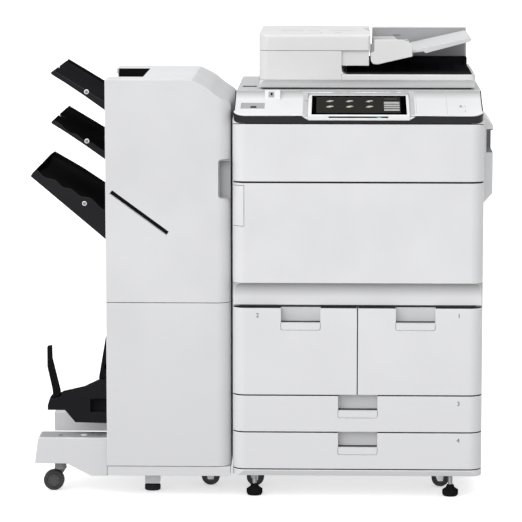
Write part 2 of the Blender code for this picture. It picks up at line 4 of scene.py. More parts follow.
import bmesh
import bpy
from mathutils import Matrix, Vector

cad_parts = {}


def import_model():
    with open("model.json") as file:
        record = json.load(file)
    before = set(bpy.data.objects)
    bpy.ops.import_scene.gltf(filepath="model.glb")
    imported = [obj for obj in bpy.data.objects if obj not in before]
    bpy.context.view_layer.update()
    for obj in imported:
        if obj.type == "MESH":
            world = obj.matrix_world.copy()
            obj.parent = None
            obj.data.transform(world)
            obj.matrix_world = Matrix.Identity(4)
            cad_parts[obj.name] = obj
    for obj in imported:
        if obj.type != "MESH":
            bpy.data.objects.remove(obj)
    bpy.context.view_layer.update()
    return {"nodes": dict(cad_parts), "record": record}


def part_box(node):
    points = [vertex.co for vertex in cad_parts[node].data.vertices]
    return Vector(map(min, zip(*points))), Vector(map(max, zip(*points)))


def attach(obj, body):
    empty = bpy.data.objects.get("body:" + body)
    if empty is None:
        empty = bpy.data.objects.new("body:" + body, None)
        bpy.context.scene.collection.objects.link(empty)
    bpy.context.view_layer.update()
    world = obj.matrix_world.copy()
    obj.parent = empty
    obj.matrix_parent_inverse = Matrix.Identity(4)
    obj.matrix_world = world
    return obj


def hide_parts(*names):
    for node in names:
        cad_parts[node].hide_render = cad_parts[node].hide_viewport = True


# Visual model of an office photocopier with its inline finisher.
# Sizes are millimetres in the drawing frame: X from the middle of the main unit's front door,
# D is the depth behind the door's front face, Z up from the floor.

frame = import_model()

MM = 0.001
DOOR_LOW, DOOR_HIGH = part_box("front_door")
MIDDLE_X = (DOOR_LOW.x + DOOR_HIGH.x) / 2
FRONT_Y = DOOR_LOW.y
HALF_WIDTH = (DOOR_HIGH.x - DOOR_LOW.x) / 2 / MM
CORNER = 36.0  # radius of a front panel's outer corners, seen from above
PANEL_DEPTH = 38.0
TILT = 0.2493  # rise of the control panel for each step back
DECK_TOP = 1037.0  # the control panel's surface where it meets the front
SCOOP_HEIGHT = 0.0614  # metres from the door's lower edge to the top of its scoop
WEAR = "edge_wear"
BODIES = frame["record"]["behaviour"]["bodies"]
BODY_OF = {node: body for body, nodes in BODIES.items() for node in nodes}


def world(x, d, z):
    """A point of the drawing frame, in metres in the scene."""
    return (MIDDLE_X + x * MM, FRONT_Y + d * MM, z * MM)


# Where the two outline numbers and the extrusion level go. T lies on the tilted control panel,
# S is a profile from side to side that runs up the tilt.
PLACE = {
    "X": lambda u, v, w: world(w, u, v),
    "D": lambda u, v, w: world(u, w, v),
    "Z": lambda u, v, w: world(u, v, w),
    "T": lambda u, v, w: world(u, v, w + TILT * v),
    "S": lambda u, v, w: world(u, w, v + TILT * w),
}

# ------------ shader nodes


def link_node(tree, kind, settings=None, inputs=None):
    made = tree.nodes.new(kind)
    for key, value in (settings or {}).items():
        setattr(made, key, value)
    for key, value in (inputs or {}).items():
        if isinstance(value, bpy.types.NodeSocket):
            tree.links.new(value, made.inputs[key])
        else:
            made.inputs[key].default_value = value
    return made


def mix_colour(tree, factor, first, second):
    made = link_node(tree, "ShaderNodeMix", {"data_type": "RGBA"}, {0: factor, 6: first, 7: second})
    return made.outputs[2]


def noise(tree, place, scale, detail=2.0, stretch=None):
    if stretch:
        mapping = link_node(tree, "ShaderNodeMapping", None, {"Vector": place, "Scale": stretch})
        place = mapping.outputs["Vector"]
    made = link_node(tree, "ShaderNodeTexNoise", None, {"Vector": place, "Scale": scale, "Detail": detail})
    return made.outputs["Fac"]


def remap(tree, value, low, high, to_low, to_high):
    made = link_node(
        tree,
        "ShaderNodeMapRange",
        None,
        {"Value": value, "From Min": low, "From Max": high, "To Min": to_low, "To Max": to_high},
    )
    return made.outputs["Result"]


def product(tree, first, second):
    made = link_node(tree, "ShaderNodeMath", {"operation": "MULTIPLY"}, {0: first, 1: second})
    return made.outputs[0]


def scaled_sum(tree, value, scale, added):
    """The value times the scale, plus what is added."""
    inputs = {0: value, 1: scale, 2: added}
    return link_node(tree, "ShaderNodeMath", {"operation": "MULTIPLY_ADD"}, inputs).outputs[0]


def opaque(colour, share=1.0):
    return [c * share for c in colour] + [1.0]


# ------------ camera and light


LENS_LENGTH = 206.66
CAMERA_PLACE = (0.2081, -8.3026, 1.7179)
CAMERA_DOWN, CAMERA_TURN = 7.707, 1.519


def make_camera():
    lens = bpy.data.cameras.new("camera")
    lens.sensor_width = 36.0
    lens.lens = LENS_LENGTH
    lens.clip_end = 200.0
    camera = bpy.data.objects.new("camera", lens)
    camera.location = CAMERA_PLACE
    camera.rotation_euler = (math.radians(90 - CAMERA_DOWN), 0.0, math.radians(CAMERA_TURN))
    bpy.context.scene.collection.objects.link(camera)
    bpy.context.scene.camera = camera


SKY_LIGHT, GROUND_LIGHT = 0.82, 0.45
LEFT_LIGHT, RIGHT_LIGHT = 1.17, 0.90


def make_sun(name, strength, spread, direction):
    """A soft distant light; direction is where the light comes from."""
    lamp = bpy.data.lights.new(name, "SUN")
    lamp.energy = strength
    lamp.angle = math.radians(spread)
    sun = bpy.data.objects.new(name, lamp)
    x, y, z = direction
    sun.rotation_euler = (math.atan2(math.hypot(x, y), z), 0.0, math.atan2(y, x) + math.pi / 2)
    bpy.context.scene.collection.objects.link(sun)


def make_light():
    sky = bpy.data.worlds.new("studio")
    sky.use_nodes = True
    tree = sky.node_tree
    background = tree.nodes["Background"]
    background.inputs["Color"].default_value = (1.0, 1.0, 1.0, 1.0)
    direction = link_node(tree, "ShaderNodeTexCoord").outputs["Generated"]
    axes = link_node(tree, "ShaderNodeSeparateXYZ", None, {0: direction})
    height = remap(tree, axes.outputs["Z"], -0.25, 0.12, GROUND_LIGHT, SKY_LIGHT)
    side = remap(tree, axes.outputs["X"], -1.0, 1.0, LEFT_LIGHT, RIGHT_LIGHT)
    tree.links.new(product(tree, height, side), background.inputs["Strength"])
    bpy.context.scene.world = sky
    make_sun("top_softbox", 0.55, 90.0, (-0.1, -0.3, 1.0))
    make_sun("front_softbox", 1.3, 70.0, (-0.5, -1.0, 0.5))
    bpy.context.scene.view_settings.view_transform = "Standard"


# ------------ finishes

FINISHES = {}


def finish(
    name,
    colour,
    rough=(0.38, 0.52),
    vary=0.03,
    mottle=5.0,
    grain=1400.0,
    bump=0.12,
    depth=0.0001,
    worn=None,
    stretch=None,
    painted_shading=None,
    **sockets,
):
    """A moulded or coated surface: colour drift, grain, uneven gloss, worn edges on the bevels, and
    painted shading where asked.

    painted_shading is (low, high, share): painted shade where the share is under one and painted light
    where it is over; the colour goes to its share between two heights, and back to the
    full colour above a third height if one is given.
    """
    made = bpy.data.materials.new(name)
    made.use_nodes = True
    tree = made.node_tree
    shader = tree.nodes["Principled BSDF"]
    for key, value in sockets.items():
        shader.inputs[key.replace("_", " ")].default_value = value
    place = link_node(tree, "ShaderNodeTexCoord").outputs["Object"]
    drift = noise(tree, place, mottle, 4.0)
    patches = noise(tree, place, mottle * 9.0, 3.0)
    fine = noise(tree, place, grain, 2.0, stretch)
    lighter = [min(1.0, c * (1.0 + vary)) for c in colour] + [1.0]
    base = mix_colour(tree, remap(tree, drift, 0.35, 0.65, 0.0, 1.0), opaque(colour, 1.0 - vary), lighter)
    base = mix_colour(tree, remap(tree, fine, 0.5, 0.85, 0.0, 0.5), base, opaque(colour, 1.0 - 1.5 * vary))
    # painted shading: the colour goes to its share over a height range, darker as painted shade, lighter
    # as painted light
    if painted_shading:
        low, high, share, *top = painted_shading
        level = link_node(tree, "ShaderNodeSeparateXYZ", None, {0: place}).outputs["Z"]
        amount = remap(tree, level, low, high, 0.0, 1.0)
        for limit in top:
            amount = product(tree, amount, remap(tree, level, limit, limit + 0.0008, 1.0, 0.0))
        base = mix_colour(tree, amount, base, opaque(colour, share))
    edge = link_node(tree, "ShaderNodeAttribute", {"attribute_name": WEAR}).outputs["Fac"]
    rubbed = product(tree, edge, remap(tree, noise(tree, place, 45.0, 5.0), 0.42, 0.62, 0.1, 1.0))
    tone = opaque(worn if worn else [min(1.0, c * 1.12 + 0.01) for c in colour])
    base = mix_colour(tree, rubbed, base, tone)
    tree.links.new(base, shader.inputs["Base Color"])
    gloss = scaled_sum(tree, rubbed, 0.12, remap(tree, patches, 0.3, 0.7, rough[0], rough[1]))
    tree.links.new(gloss, shader.inputs["Roughness"])
    height = scaled_sum(tree, patches, 0.25, fine)
    relief = link_node(
        tree, "ShaderNodeBump", None, {"Strength": bump, "Distance": depth, "Height": height}
    )
    tree.links.new(relief.outputs["Normal"], shader.inputs["Normal"])
    FINISHES[name] = made


def make_shell_finishes():
    """Pale moulded plastic, in the shades of the different panels, some with painted shade and one with
    painted light over a height range.
    """
    white, low_painted_shade = (0.735, 0.737, 0.748), (0.65, 0.10, 0.91)
    feeder_tone, feeder_wear = (0.683, 0.683, 0.681), (0.76, 0.76, 0.755)
    scoop_foot, scoop_head, scoop_top = [DOOR_LOW.z + rise for rise in (0.022, 0.060, SCOOP_HEIGHT)]
    matt = {"rough": (0.42, 0.56), "Specular_IOR_Level": 0.35}
    satin = {"Specular_IOR_Level": 0.4}
    glossy = {"rough": (0.3, 0.42), "Specular_IOR_Level": 0.45}
    # painted shade: the shell and finisher whites darken to 0.91 of their colour from 0.65 m down to 0.10
    # m, towards the floor
    finish("shell_white", white, worn=(0.80, 0.80, 0.80), painted_shading=low_painted_shade, **satin)
    finish("finisher_white", (0.692, 0.694, 0.705), worn=(0.77, 0.77, 0.77), painted_shading=low_painted_shade, **satin)
    # painted light: the feeder base is 1.3 times lighter below about 1.11 m, on its lower front
    finish("feeder_base_white", feeder_tone, worn=feeder_wear, painted_shading=(1.1165, 1.104, 1.3), **satin)
    finish("feeder_white", feeder_tone, worn=feeder_wear, **satin)
    finish("shell_light", (0.80, 0.802, 0.81), **glossy)
    # painted shade: the deck darkens to half its colour between 1.069 m and 1.086 m, up its rise under the
    # feeder
    finish("deck_white", (0.745, 0.747, 0.755), painted_shading=(1.069, 1.086, 0.5), **glossy)
    # painted shade: the door's colour drops towards 0.56 up its scoop, darkest just under the overhang,
    # and is full again above the scoop's top
    finish(
        "door_white",
        (0.725, 0.727, 0.738),
        worn=(0.80, 0.80, 0.80),
        painted_shading=(scoop_foot, scoop_head, 0.56, scoop_top),
        **satin,
    )
    # shell_shade is a mid grey for grey parts; it is also painted shade on the reader housing's top, in
    # the touch panel's valleys and in a notch of the feeder cover
    finish("shell_shade", (0.50, 0.503, 0.512), rough=(0.42, 0.55), **satin)
    # shell_grey is a light grey for grey parts; it is also painted shade in the drawers' finger hollows,
    # on the finisher's shoulder and in the feeder cover's shallow recesses
    finish("shell_grey", (0.60, 0.603, 0.615), **matt)
    finish("wall_grey", (0.36, 0.362, 0.37), rough=(0.45, 0.6), Specular_IOR_Level=0.35)


def make_dark_finishes():
    """Black and dark grey plastic, rubber and steel."""
    finish(
        "trim_dark",
        (0.010, 0.010, 0.0112),
        rough=(0.42, 0.55),
        vary=0.08,
        bump=0.2,
        worn=(0.04, 0.04, 0.043),
        Specular_IOR_Level=0.25,
    )
    # tray_shade is a lighter copy of tray_black without gloss; on the feeder's exit tray it is painted
    # light that lifts the shade under the feeder
    for name, colour, vary, bump, worn, gloss in (
        ("tray_black", (0.010, 0.010, 0.0108), 0.15, 0.08, (0.02, 0.02, 0.021), 0.0),
        ("tray_shade", (0.017, 0.017, 0.0195), 0.1, 0.08, (0.03, 0.03, 0.033), 0.0),
        ("flange_black", (0.02, 0.02, 0.0225), 0.1, 0.15, (0.04, 0.04, 0.043), 0.03),
    ):
        look = {"vary": vary, "bump": bump, "worn": worn, "Specular_IOR_Level": gloss}
        finish(name, colour, rough=(0.5, 0.65), grain=900.0, **look)
    finish("frame_grey", (0.20, 0.205, 0.21), rough=(0.45, 0.65), vary=0.06, mottle=12.0)
    finish("hub_grey", (0.038, 0.038, 0.04), rough=(0.45, 0.6), vary=0.08, mottle=30.0)
    # painted shadow: a near black for the strips, sheets and inlays set in gaps and slots, where there is
    # only shade
    finish("painted_gap_shadow", (0.02, 0.02, 0.022), rough=(0.6, 0.8), vary=0.1)
    finish(
        "tyre_rubber",
        (0.022, 0.022, 0.023),
        rough=(0.62, 0.85),
        vary=0.12,
        grain=700.0,
        bump=0.4,
        worn=(0.06, 0.058, 0.056),
    )
    finish(
        "steel",
        (0.55, 0.56, 0.57),
        rough=(0.22, 0.4),
        vary=0.05,
        grain=300.0,
        bump=0.15,
        stretch=(1.0, 1.0, 8.0),
        Metallic=1.0,
    )


def make_detail_finishes():
    """Glass, screen, toner, print and the floor."""
    finish(
        "glass_clear",
        (0.80, 0.86, 0.85),
        rough=(0.02, 0.07),
        vary=0.02,
        bump=0.01,
        Transmission_Weight=0.85,
        IOR=1.5,
    )
    screen = {"vary": 0.1, "bump": 0.01, "Specular_IOR_Level": 0.0}
    finish("screen_dark", (0.0008, 0.0008, 0.0012), rough=(0.1, 0.18), **screen)
    finish("screen_page", (0.025, 0.0245, 0.0225), rough=(0.12, 0.2), **screen)
    finish("toner_blue", (0.06, 0.12, 0.28), rough=(0.35, 0.5), vary=0.05)
    finish("ink_grey", (0.022, 0.022, 0.024), rough=(0.4, 0.6), vary=0.1, mottle=60.0)
    icon = {"rough": (0.2, 0.3), "vary": 0.25, "mottle": 240.0}
    yellow_glow, white_glow = (0.8, 0.7, 0.35, 1.0), (0.8, 0.8, 0.78, 1.0)
    finish("icon_yellow", (0.50, 0.47, 0.34), Emission_Strength=0.05, Emission_Color=yellow_glow, **icon)
    finish("icon_white", (0.42, 0.42, 0.41), Emission_Strength=0.04, Emission_Color=white_glow, **icon)
    finish(
        "lamp_teal",
        (0.10, 0.45, 0.42),
        rough=(0.15, 0.25),
        vary=0.08,
        mottle=80.0,
        Emission_Strength=0.35,
        Emission_Color=(0.15, 0.75, 0.68, 1.0),
    )
    finish(
        "floor_pale",
        (0.80, 0.80, 0.80),
        rough=(0.75, 0.85),
        vary=0.004,
        mottle=0.6,
        bump=0.0,
        Emission_Color=(1.0, 1.0, 1.0, 1.0),
        Emission_Strength=0.5,
    )


make_shell_finishes()
make_dark_finishes()
make_detail_finishes()

# ------------ floor


def make_floor():
    """A wide plain floor, just under the feet; it lights nothing else."""
    mesh = bmesh.new()
    reach, cells, level = 60.0, 24, -0.0005
    steps = [reach * (2 * i / cells - 1) for i in range(cells + 1)]
    grid = [[mesh.verts.new((x, y, level)) for x in steps] for y in steps]
    for j in range(cells):
        for i in range(cells):
            mesh.faces.new((grid[j][i], grid[j][i + 1], grid[j + 1][i + 1], grid[j + 1][i]))
    floor = new_object("studio_floor", mesh)
    floor.data.materials.append(FINISHES["floor_pale"])
    floor.visible_diffuse = False
    FINISHES["floor_pale"].cycles.emission_sampling = "NONE"


# ------------ mesh helpers


def new_object(name, mesh):
    data = bpy.data.meshes.new(name)
    mesh.to_mesh(data)
    mesh.free()
    made = bpy.data.objects.new(name, data)
    bpy.context.scene.collection.objects.link(made)
    return made


def rectangle(u, v):
    return [(u[0], v[0]), (u[1], v[0]), (u[1], v[1]), (u[0], v[1])]


def prism(axis, outline, low, high):
    """An outline extruded along an axis, as a temporary solid."""
    mesh = bmesh.new()
    place = PLACE[axis]
    first = [mesh.verts.new(place(u, v, low)) for u, v in outline]
    last = [mesh.verts.new(place(u, v, high)) for u, v in outline]
    mesh.faces.new(first)
    mesh.faces.new(last)
    count = len(outline)
    for i in range(count):
        j = (i + 1) % count
        mesh.faces.new((first[i], first[j], last[j], last[i]))
    bmesh.ops.recalc_face_normals(mesh, faces=mesh.faces)
    return new_object("solid", mesh)


def box(x, d, z):
    return prism("Z", rectangle(x, d), z[0], z[1])


def circle(u, v, radius, sides=24):
    turn = 2 * math.pi / sides
    return [(u + radius * math.cos(i * turn), v + radius * math.sin(i * turn)) for i in range(sides)]


def arc(u, v, radius, start, end, steps=10):
    points = []
    for i in range(steps + 1):
        angle = math.radians(start + (end - start) * i / steps)
        points.append((u + radius * math.cos(angle), v + radius * math.sin(angle)))
    return points


def rounded(u, v, radii, steps=6):
    """A rectangle with its own radius at each corner, anticlockwise from the low corner."""
    if isinstance(radii, (int, float)):
        radii = (radii,) * 4
    a, b, c, e = radii
    points = arc(u[0] + a, v[0] + a, a, 180, 270, steps) if a else [(u[0], v[0])]
    points += arc(u[1] - b, v[0] + b, b, 270, 360, steps) if b else [(u[1], v[0])]
    points += arc(u[1] - c, v[1] - c, c, 0, 90, steps) if c else [(u[1], v[1])]
    points += arc(u[0] + e, v[1] - e, e, 90, 180, steps) if e else [(u[0], v[1])]
    return points


def smooth_step(a, b, c, e, t):
    """Catmull-Rom value a share t of the way from b to c, with a before them and e after."""
    bend = (2 * a - 5 * b + 4 * c - e) * t * t
    return 0.5 * (2 * b + (c - a) * t + bend + (3 * b - a - 3 * c + e) * t**3)


def curve_through(points, steps=5):
    """A smooth curve through the points, ends included."""
    ends = [points[0]] + list(points) + [points[-1]]
    made = []
    for a, b, c, e in zip(ends, ends[1:], ends[2:], ends[3:]):
        for i in range(steps):
            made.append(tuple(smooth_step(a[k], b[k], c[k], e[k], i / steps) for k in (0, 1)))
    return made + [tuple(points[-1])]


def turned(axis, centre, profile, sides=28):
    """A profile of (radius, level) pairs turned about a line along one axis, closed at both ends."""
    mesh = bmesh.new()
    place = PLACE[axis]
    rings = []
    for radius, level in profile:
        ring = circle(centre[0], centre[1], radius, sides)
        rings.append([mesh.verts.new(place(u, v, level)) for u, v in ring])
    mesh.faces.new(rings[0])
    mesh.faces.new(rings[-1])
    for lower, upper in zip(rings, rings[1:]):
        for i in range(sides):
            j = (i + 1) % sides
            mesh.faces.new((lower[i], lower[j], upper[j], upper[i]))
    bmesh.ops.recalc_face_normals(mesh, faces=mesh.faces)
    return new_object("solid", mesh)


def combine(piece, operation, tools):
    """Cuts or joins the temporary solids and takes the result into the piece's own mesh."""
    for tool in tools:
        step = piece.modifiers.new("step", "BOOLEAN")
        step.operation = operation
        step.solver = "MANIFOLD"
        step.object = tool
    graph = bpy.context.evaluated_depsgraph_get()
    data = bpy.data.meshes.new_from_object(piece.evaluated_get(graph))
    piece.modifiers.clear()
    old = piece.data
    piece.data = data
    bpy.data.meshes.remove(old)
    for tool in tools:
        bpy.data.objects.remove(tool, do_unlink=True)
    return piece


def cut(piece, *tools):
    return combine(piece, "DIFFERENCE", tools)


def fuse(piece, *tools):
    return combine(piece, "UNION", tools)


WELD = 2e-6
FLAT_ANGLE, SMOOTH_ANGLE = math.radians(0.4), math.radians(38)


def polish(piece, width, segments=2, limit=28.0):
    """Joins flat faces, rounds the convex edges and marks those roundings for the edge wear."""
    mesh = bmesh.new()
    mesh.from_mesh(piece.data)
    bmesh.ops.remove_doubles(mesh, verts=mesh.verts, dist=WELD)
    parts = {"verts": mesh.verts, "edges": mesh.edges}
    bmesh.ops.dissolve_limit(mesh, angle_limit=FLAT_ANGLE, use_dissolve_boundaries=False, **parts)
    layer = mesh.faces.layers.float.new(WEAR)
    if width:
        steep = math.radians(limit)
        convex = [e for e in mesh.edges if len(e.link_faces) == 2 and e.is_convex]
        sharp = [e for e in convex if e.calc_face_angle(0.0) > steep]
        made = bmesh.ops.bevel(
            mesh,
            geom=sharp,
            offset=width * MM,
            offset_type="OFFSET",
            segments=segments,
            profile=0.5,
            affect="EDGES",
            clamp_overlap=False,
        )
        for face in made["faces"]:
            face[layer] = 1.0
    for face in mesh.faces:
        face.smooth = True
    name = piece.data.name
    data = bpy.data.meshes.new(name)
    mesh.to_mesh(data)
    mesh.free()
    old = piece.data
    piece.data = data
    bpy.data.meshes.remove(old)
    data.set_sharp_from_angle(angle=SMOOTH_ANGLE)
    weighted = piece.modifiers.new("weighted", "WEIGHTED_NORMAL")
    weighted.keep_sharp = True
    return piece


def dress(piece, name, body, material, width=0.8, segments=2, limit=28.0, replaces=()):
    """Finishes a solid and puts it on its body; a solid's own faces all take one finish."""
    polish(piece, width, segments, limit)
    piece.name = name
    piece.data.name = name
    piece.data.materials.clear()
    piece.data.materials.append(FINISHES[material])
    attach(piece, body)
    if replaces:
        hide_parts(*replaces)
    return piece


def copy_of(node):
    """A welded copy of a CAD node's mesh as a temporary solid."""
    mesh = bmesh.new()
    mesh.from_mesh(frame["nodes"][node].data)
    bmesh.ops.remove_doubles(mesh, verts=mesh.verts, dist=1e-6)
    return new_object("solid", mesh)


def skin(node, material, width=1.2, segments=2, cuts=(), joins=(), limit=28.0):
    """The CAD node's own shape with rounded edges and small cuts or additions."""
    piece = copy_of(node)
    if joins:
        fuse(piece, *joins)
    if cuts:
        cut(piece, *cuts)
    return dress(piece, f"{node}_skin", BODY_OF[node], material, width, segments, limit, (node,))


def keep(node, material):
    """The CAD node itself, with a better material."""
    data = frame["nodes"][node].data
    data.materials.clear()
    data.materials.append(FINISHES[material])
    data.set_sharp_from_angle(angle=math.radians(30))


def lettering(name, text, body, height, x, z, depth, material="ink_grey"):
    """A plain digit printed on a front face."""
    letters = bpy.data.curves.new(name, "FONT")
    letters.body = text
    letters.size = height * 1.4 * MM
    letters.extrude = 0.12 * MM
    letters.align_x = "CENTER"
    letters.align_y = "CENTER"
    letters.resolution_u = 4
    made = bpy.data.objects.new(name, letters)
    bpy.context.scene.collection.objects.link(made)
    made.location = world(x, depth, z)
    made.rotation_euler = (math.radians(90), 0.0, 0.0)
    bpy.context.view_layer.update()
    graph = bpy.context.evaluated_depsgraph_get()
    data = bpy.data.meshes.new_from_object(made.evaluated_get(graph))
    data.transform(made.matrix_world)
    bpy.data.objects.remove(made, do_unlink=True)
    piece = bpy.data.objects.new(name, data)
    bpy.context.scene.collection.objects.link(piece)
    dress(piece, name, body, material, 0.0)


def screw(name, body, axis, u, v, low, high, radius=3.6, material="steel"):
    """A domed screw head with a cross recess; the recess is in the end at the low level."""
    rise = high - low
    side = [(radius, high), (radius, low + 0.45 * rise)]
    dome = [(radius * 0.82, low + 0.15 * rise), (radius * 0.5, low)]
    head = turned(axis, (u, v), side + dome, 20)
    arm, thick = radius * 0.62, radius * 0.16
    near, far = low - 0.5 * rise, low + 0.5 * rise
    cross = []
    for half_u, half_v in ((arm, thick), (thick, arm)):
        bar = rectangle((u - half_u, u + half_u), (v - half_v, v + half_v))
        cross.append(prism(axis, bar, near, far))
    cut(head, *cross)
    dress(head, name, body, material, 0.0)


def front_outline(left, right, round_left, round_right, inset=0.0):
    """Plan of a front panel with rounded outer corners, drawn in from its front and sides by the inset."""
    radius = CORNER - inset
    points = [(left + inset, PANEL_DEPTH)]
    points += arc(left + CORNER, CORNER, radius, 180, 270, 8) if round_left else [(left + inset, inset)]
    points += arc(right - CORNER, CORNER, radius, 270, 360, 8) if round_right else [(right - inset, inset)]
    points.append((right - inset, PANEL_DEPTH))
    return points


def span(node):
    """A CAD node's box in the drawing frame: its X, D and Z ranges."""
    low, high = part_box(node)
    return (
        ((low.x - MIDDLE_X) / MM, (high.x - MIDDLE_X) / MM),
        ((low.y - FRONT_Y) / MM, (high.y - FRONT_Y) / MM),
        (low.z / MM, high.z / MM),
    )


# ------------ main unit

SHADOW_LINE_HEIGHT = 0.7  # height of the dark strips that paint the shadow lines
SHADOW_LINE_INSET = 1.4
PAST_SIDES = (-340, 340)  # a little wider than the main unit
SCOOP_DEPTH = 19.2
GRIP_LOW, GRIP_HIGH, GRIP_GAP = 740.3, 847.7, 1.3
HOLLOW_DEPTH, HOLLOW_HEIGHT = 25, 38.8


def about(middle, half):
    return (middle - half, middle + half)


def make_shadow_line_strip(body, x, top, hollow=None, tall=SHADOW_LINE_HEIGHT):
    """A dark strip on a panel's top edge, set back from its face, that paints the shadow line above it."""
    rounded_left, rounded_right = x[0] < 1 - HALF_WIDTH, x[1] > HALF_WIDTH - 1
    plan = front_outline(x[0], x[1], rounded_left, rounded_right, SHADOW_LINE_INSET)
    strip = prism("Z", plan, top - tall - 0.05, top - tall + 0.65)
    if hollow is not None:
        cut(strip, box(about(hollow, 53.4), (-2, HOLLOW_DEPTH + 1), (top - 5, top + 5)))
    dress(strip, f"{body}_seal", body, "painted_gap_shadow", 0.0)


def make_front_door():
    x, _, z = span("front_door")
    door = prism("Z", front_outline(x[0], x[1], True, True), z[0], z[1] - SHADOW_LINE_HEIGHT)
    make_shadow_line_strip("front_door", x, z[1])
    curve = [(-1, 61.5), (1.5, 60.8), (7, 58.0), (12.5, 53.0), (16.5, 46.0), (18.7, 36), (SCOOP_DEPTH, 24)]
    outline = curve_through(curve, 4) + [(SCOOP_DEPTH, -2), (-1, -2)]
    scoop = prism("X", [(d, z[0] + rise) for d, rise in outline], *PAST_SIDES)
    notch = [(-342, 36.6), (-342, -4), (-303.0, -4), (-303.0, 20.6), (-319.0, 36.6)]
    cut(door, scoop, prism("Z", notch, GRIP_LOW - GRIP_GAP, GRIP_HIGH + GRIP_GAP))
    # the door's finish paints shade into its scoop
    dress(door, "front_door_skin", "front_door", "door_white", 0.9, 2, 30.0, ("front_door",))
    plan = arc(-HALF_WIDTH + CORNER, CORNER, CORNER, 180, 262, 7) + [(-304.2, 20), (-320, 36)]
    grip = prism("Z", plan, GRIP_LOW, GRIP_HIGH)
    dress(grip, "front_door_grip_skin", "front_door", "shell_white", 0.6, 2, 30.0, ("front_door_grip",))


def make_handle(middle, top):
    """Lip insert under a drawer's finger hollow, in a seat with a shadow line round it."""
    seat = rounded(about(middle, 53.6), (top - 61.0, top - 38.4), (6.3, 6.3, 0, 0))
    lip = rounded(about(middle, 52.2), (top - 59.4, top - 40.4), (5.2, 5.2, 0.8, 0.8))
    return prism("D", seat, -2, 4.6), prism("D", lip, -0.3, 5.2)


def make_fronts():
    skin("toner_cover", "shell_white", 1.6, 3)
    for node, middle, digit, number_x in (
        ("deck_left", -152.0, "2", -267.5),
        ("deck_right", 155.0, "1", 271.0),
        ("drawer_3", 1.5, "3", 271.0),
        ("drawer_4", 1.5, "4", 271.0),
    ):
        x, _, z = span(f"{node}_front")
        top = z[1]
        seat, lip = make_handle(middle, top)
        trim = box((x[0] - 2, x[1] + 2), (-3, 45), (top - SHADOW_LINE_HEIGHT, top + 3))
        hollow = box(about(middle, 52.5), (-2, HOLLOW_DEPTH), (top - HOLLOW_HEIGHT, top + 3))
        skin(f"{node}_front", "shell_white", 1.1, 2, cuts=(seat, trim, hollow))
        make_shadow_line_strip(node, x, top, middle)
        # a dark sheet on the hollow's floor: painted shadow along the top of the lip
        hollow_floor_shadow = box(about(middle, 52.1), (4.0, 24.6), (top - 38.9, top - 38.1))
        dress(hollow_floor_shadow, f"{node}_ledge", node, "painted_gap_shadow", 0.1)
        dress(lip, f"{node}_lip", node, "shell_white", 0.9)
        # a grey sheet on the hollow's back wall: painted shade inside the finger hollow
        back = box(about(middle, 52.1), (24.3, 24.95), (top - 38.0, top - SHADOW_LINE_HEIGHT - 0.6))
        dress(back, f"{node}_hollow_back_painted_shade", node, "shell_grey", 0.0)
        lettering(f"{node}_number", digit, node, 12.0, number_x, top - 20.5, -0.05)
        keep(f"{node}_bin", "frame_grey")


SKIRT_HEIGHT = 18.7
SKIRT_SHADOW_LINE = 1.7


def make_main_body():
    keep("main_frame", "frame_grey")
    high = span("base_skirt")[2][1]
    low = high - SKIRT_HEIGHT
    wedge = [(-3, high - 5), (0, high - 5), (7, low - 0.2), (7, low - 3), (-3, low - 3)]
    trim = box(PAST_SIDES, (-3, 800), (high - SKIRT_SHADOW_LINE, high + 3))
    skin("base_skirt", "shell_white", 1.2, cuts=(prism("X", wedge, *PAST_SIDES), trim))
    # painted shadow line above the skirt
    make_shadow_line_strip("base", (-HALF_WIDTH, HALF_WIDTH), high, tall=SKIRT_SHADOW_LINE)
    skin("left_cover", "shell_white", 0.8)
    seams = [
        box((333.6, 340), (60, 700), (520.4, 521.8)),
        box((333.6, 340), (560, 561.4), (95, 1020)),
        box((333.6, 340), (150, 151.2), (540, 770)),
        box((333.6, 340), (150, 561), (768.8, 770)),
    ]
    skin("right_cover", "shell_white", 0.8, cuts=seams)
    # the reader housing is a mid grey; the grey is also painted shade on its top, under the feeder
    skin("reader_housing", "shell_shade", 1.6, 2, cuts=[box((-316, -277), (277, 319), (1088.4, 1092))])
    # a dark inlay in the slot on the reader's top: painted shadow
    inlay = box((-315.4, -277.6), (277.6, 318.4), (1088.2, 1089.9))
    dress(inlay, "reader_slot", "base", "painted_gap_shadow", 0.1)
    keep("platen_glass", "glass_clear")
    keep("scan_carriage", "tray_black")
    keep("drum_unit", "trim_dark")
    keep("toner_bottle", "toner_blue")
    skin("panel_band", "trim_dark", 0.8)
    for side, x in (("left", -HALF_WIDTH), ("right", HALF_WIDTH)):
        sign = -1 if x < 0 else 1
        low, high = sorted((x - sign * 1.4, x + sign * 0.35))
        for row, z in enumerate((120, 470, 560, 990)):
            near, far = (low, high) if sign < 0 else (high, low)
            screw(f"{side}_cover_screw_{row}", "base", "X", 726, z, near, far)


PANEL_RISE = [(118, 1066.42), (139, 1073.4), (154, 1081.0), (164.3, 1089.2)]  # behind the tilted deck


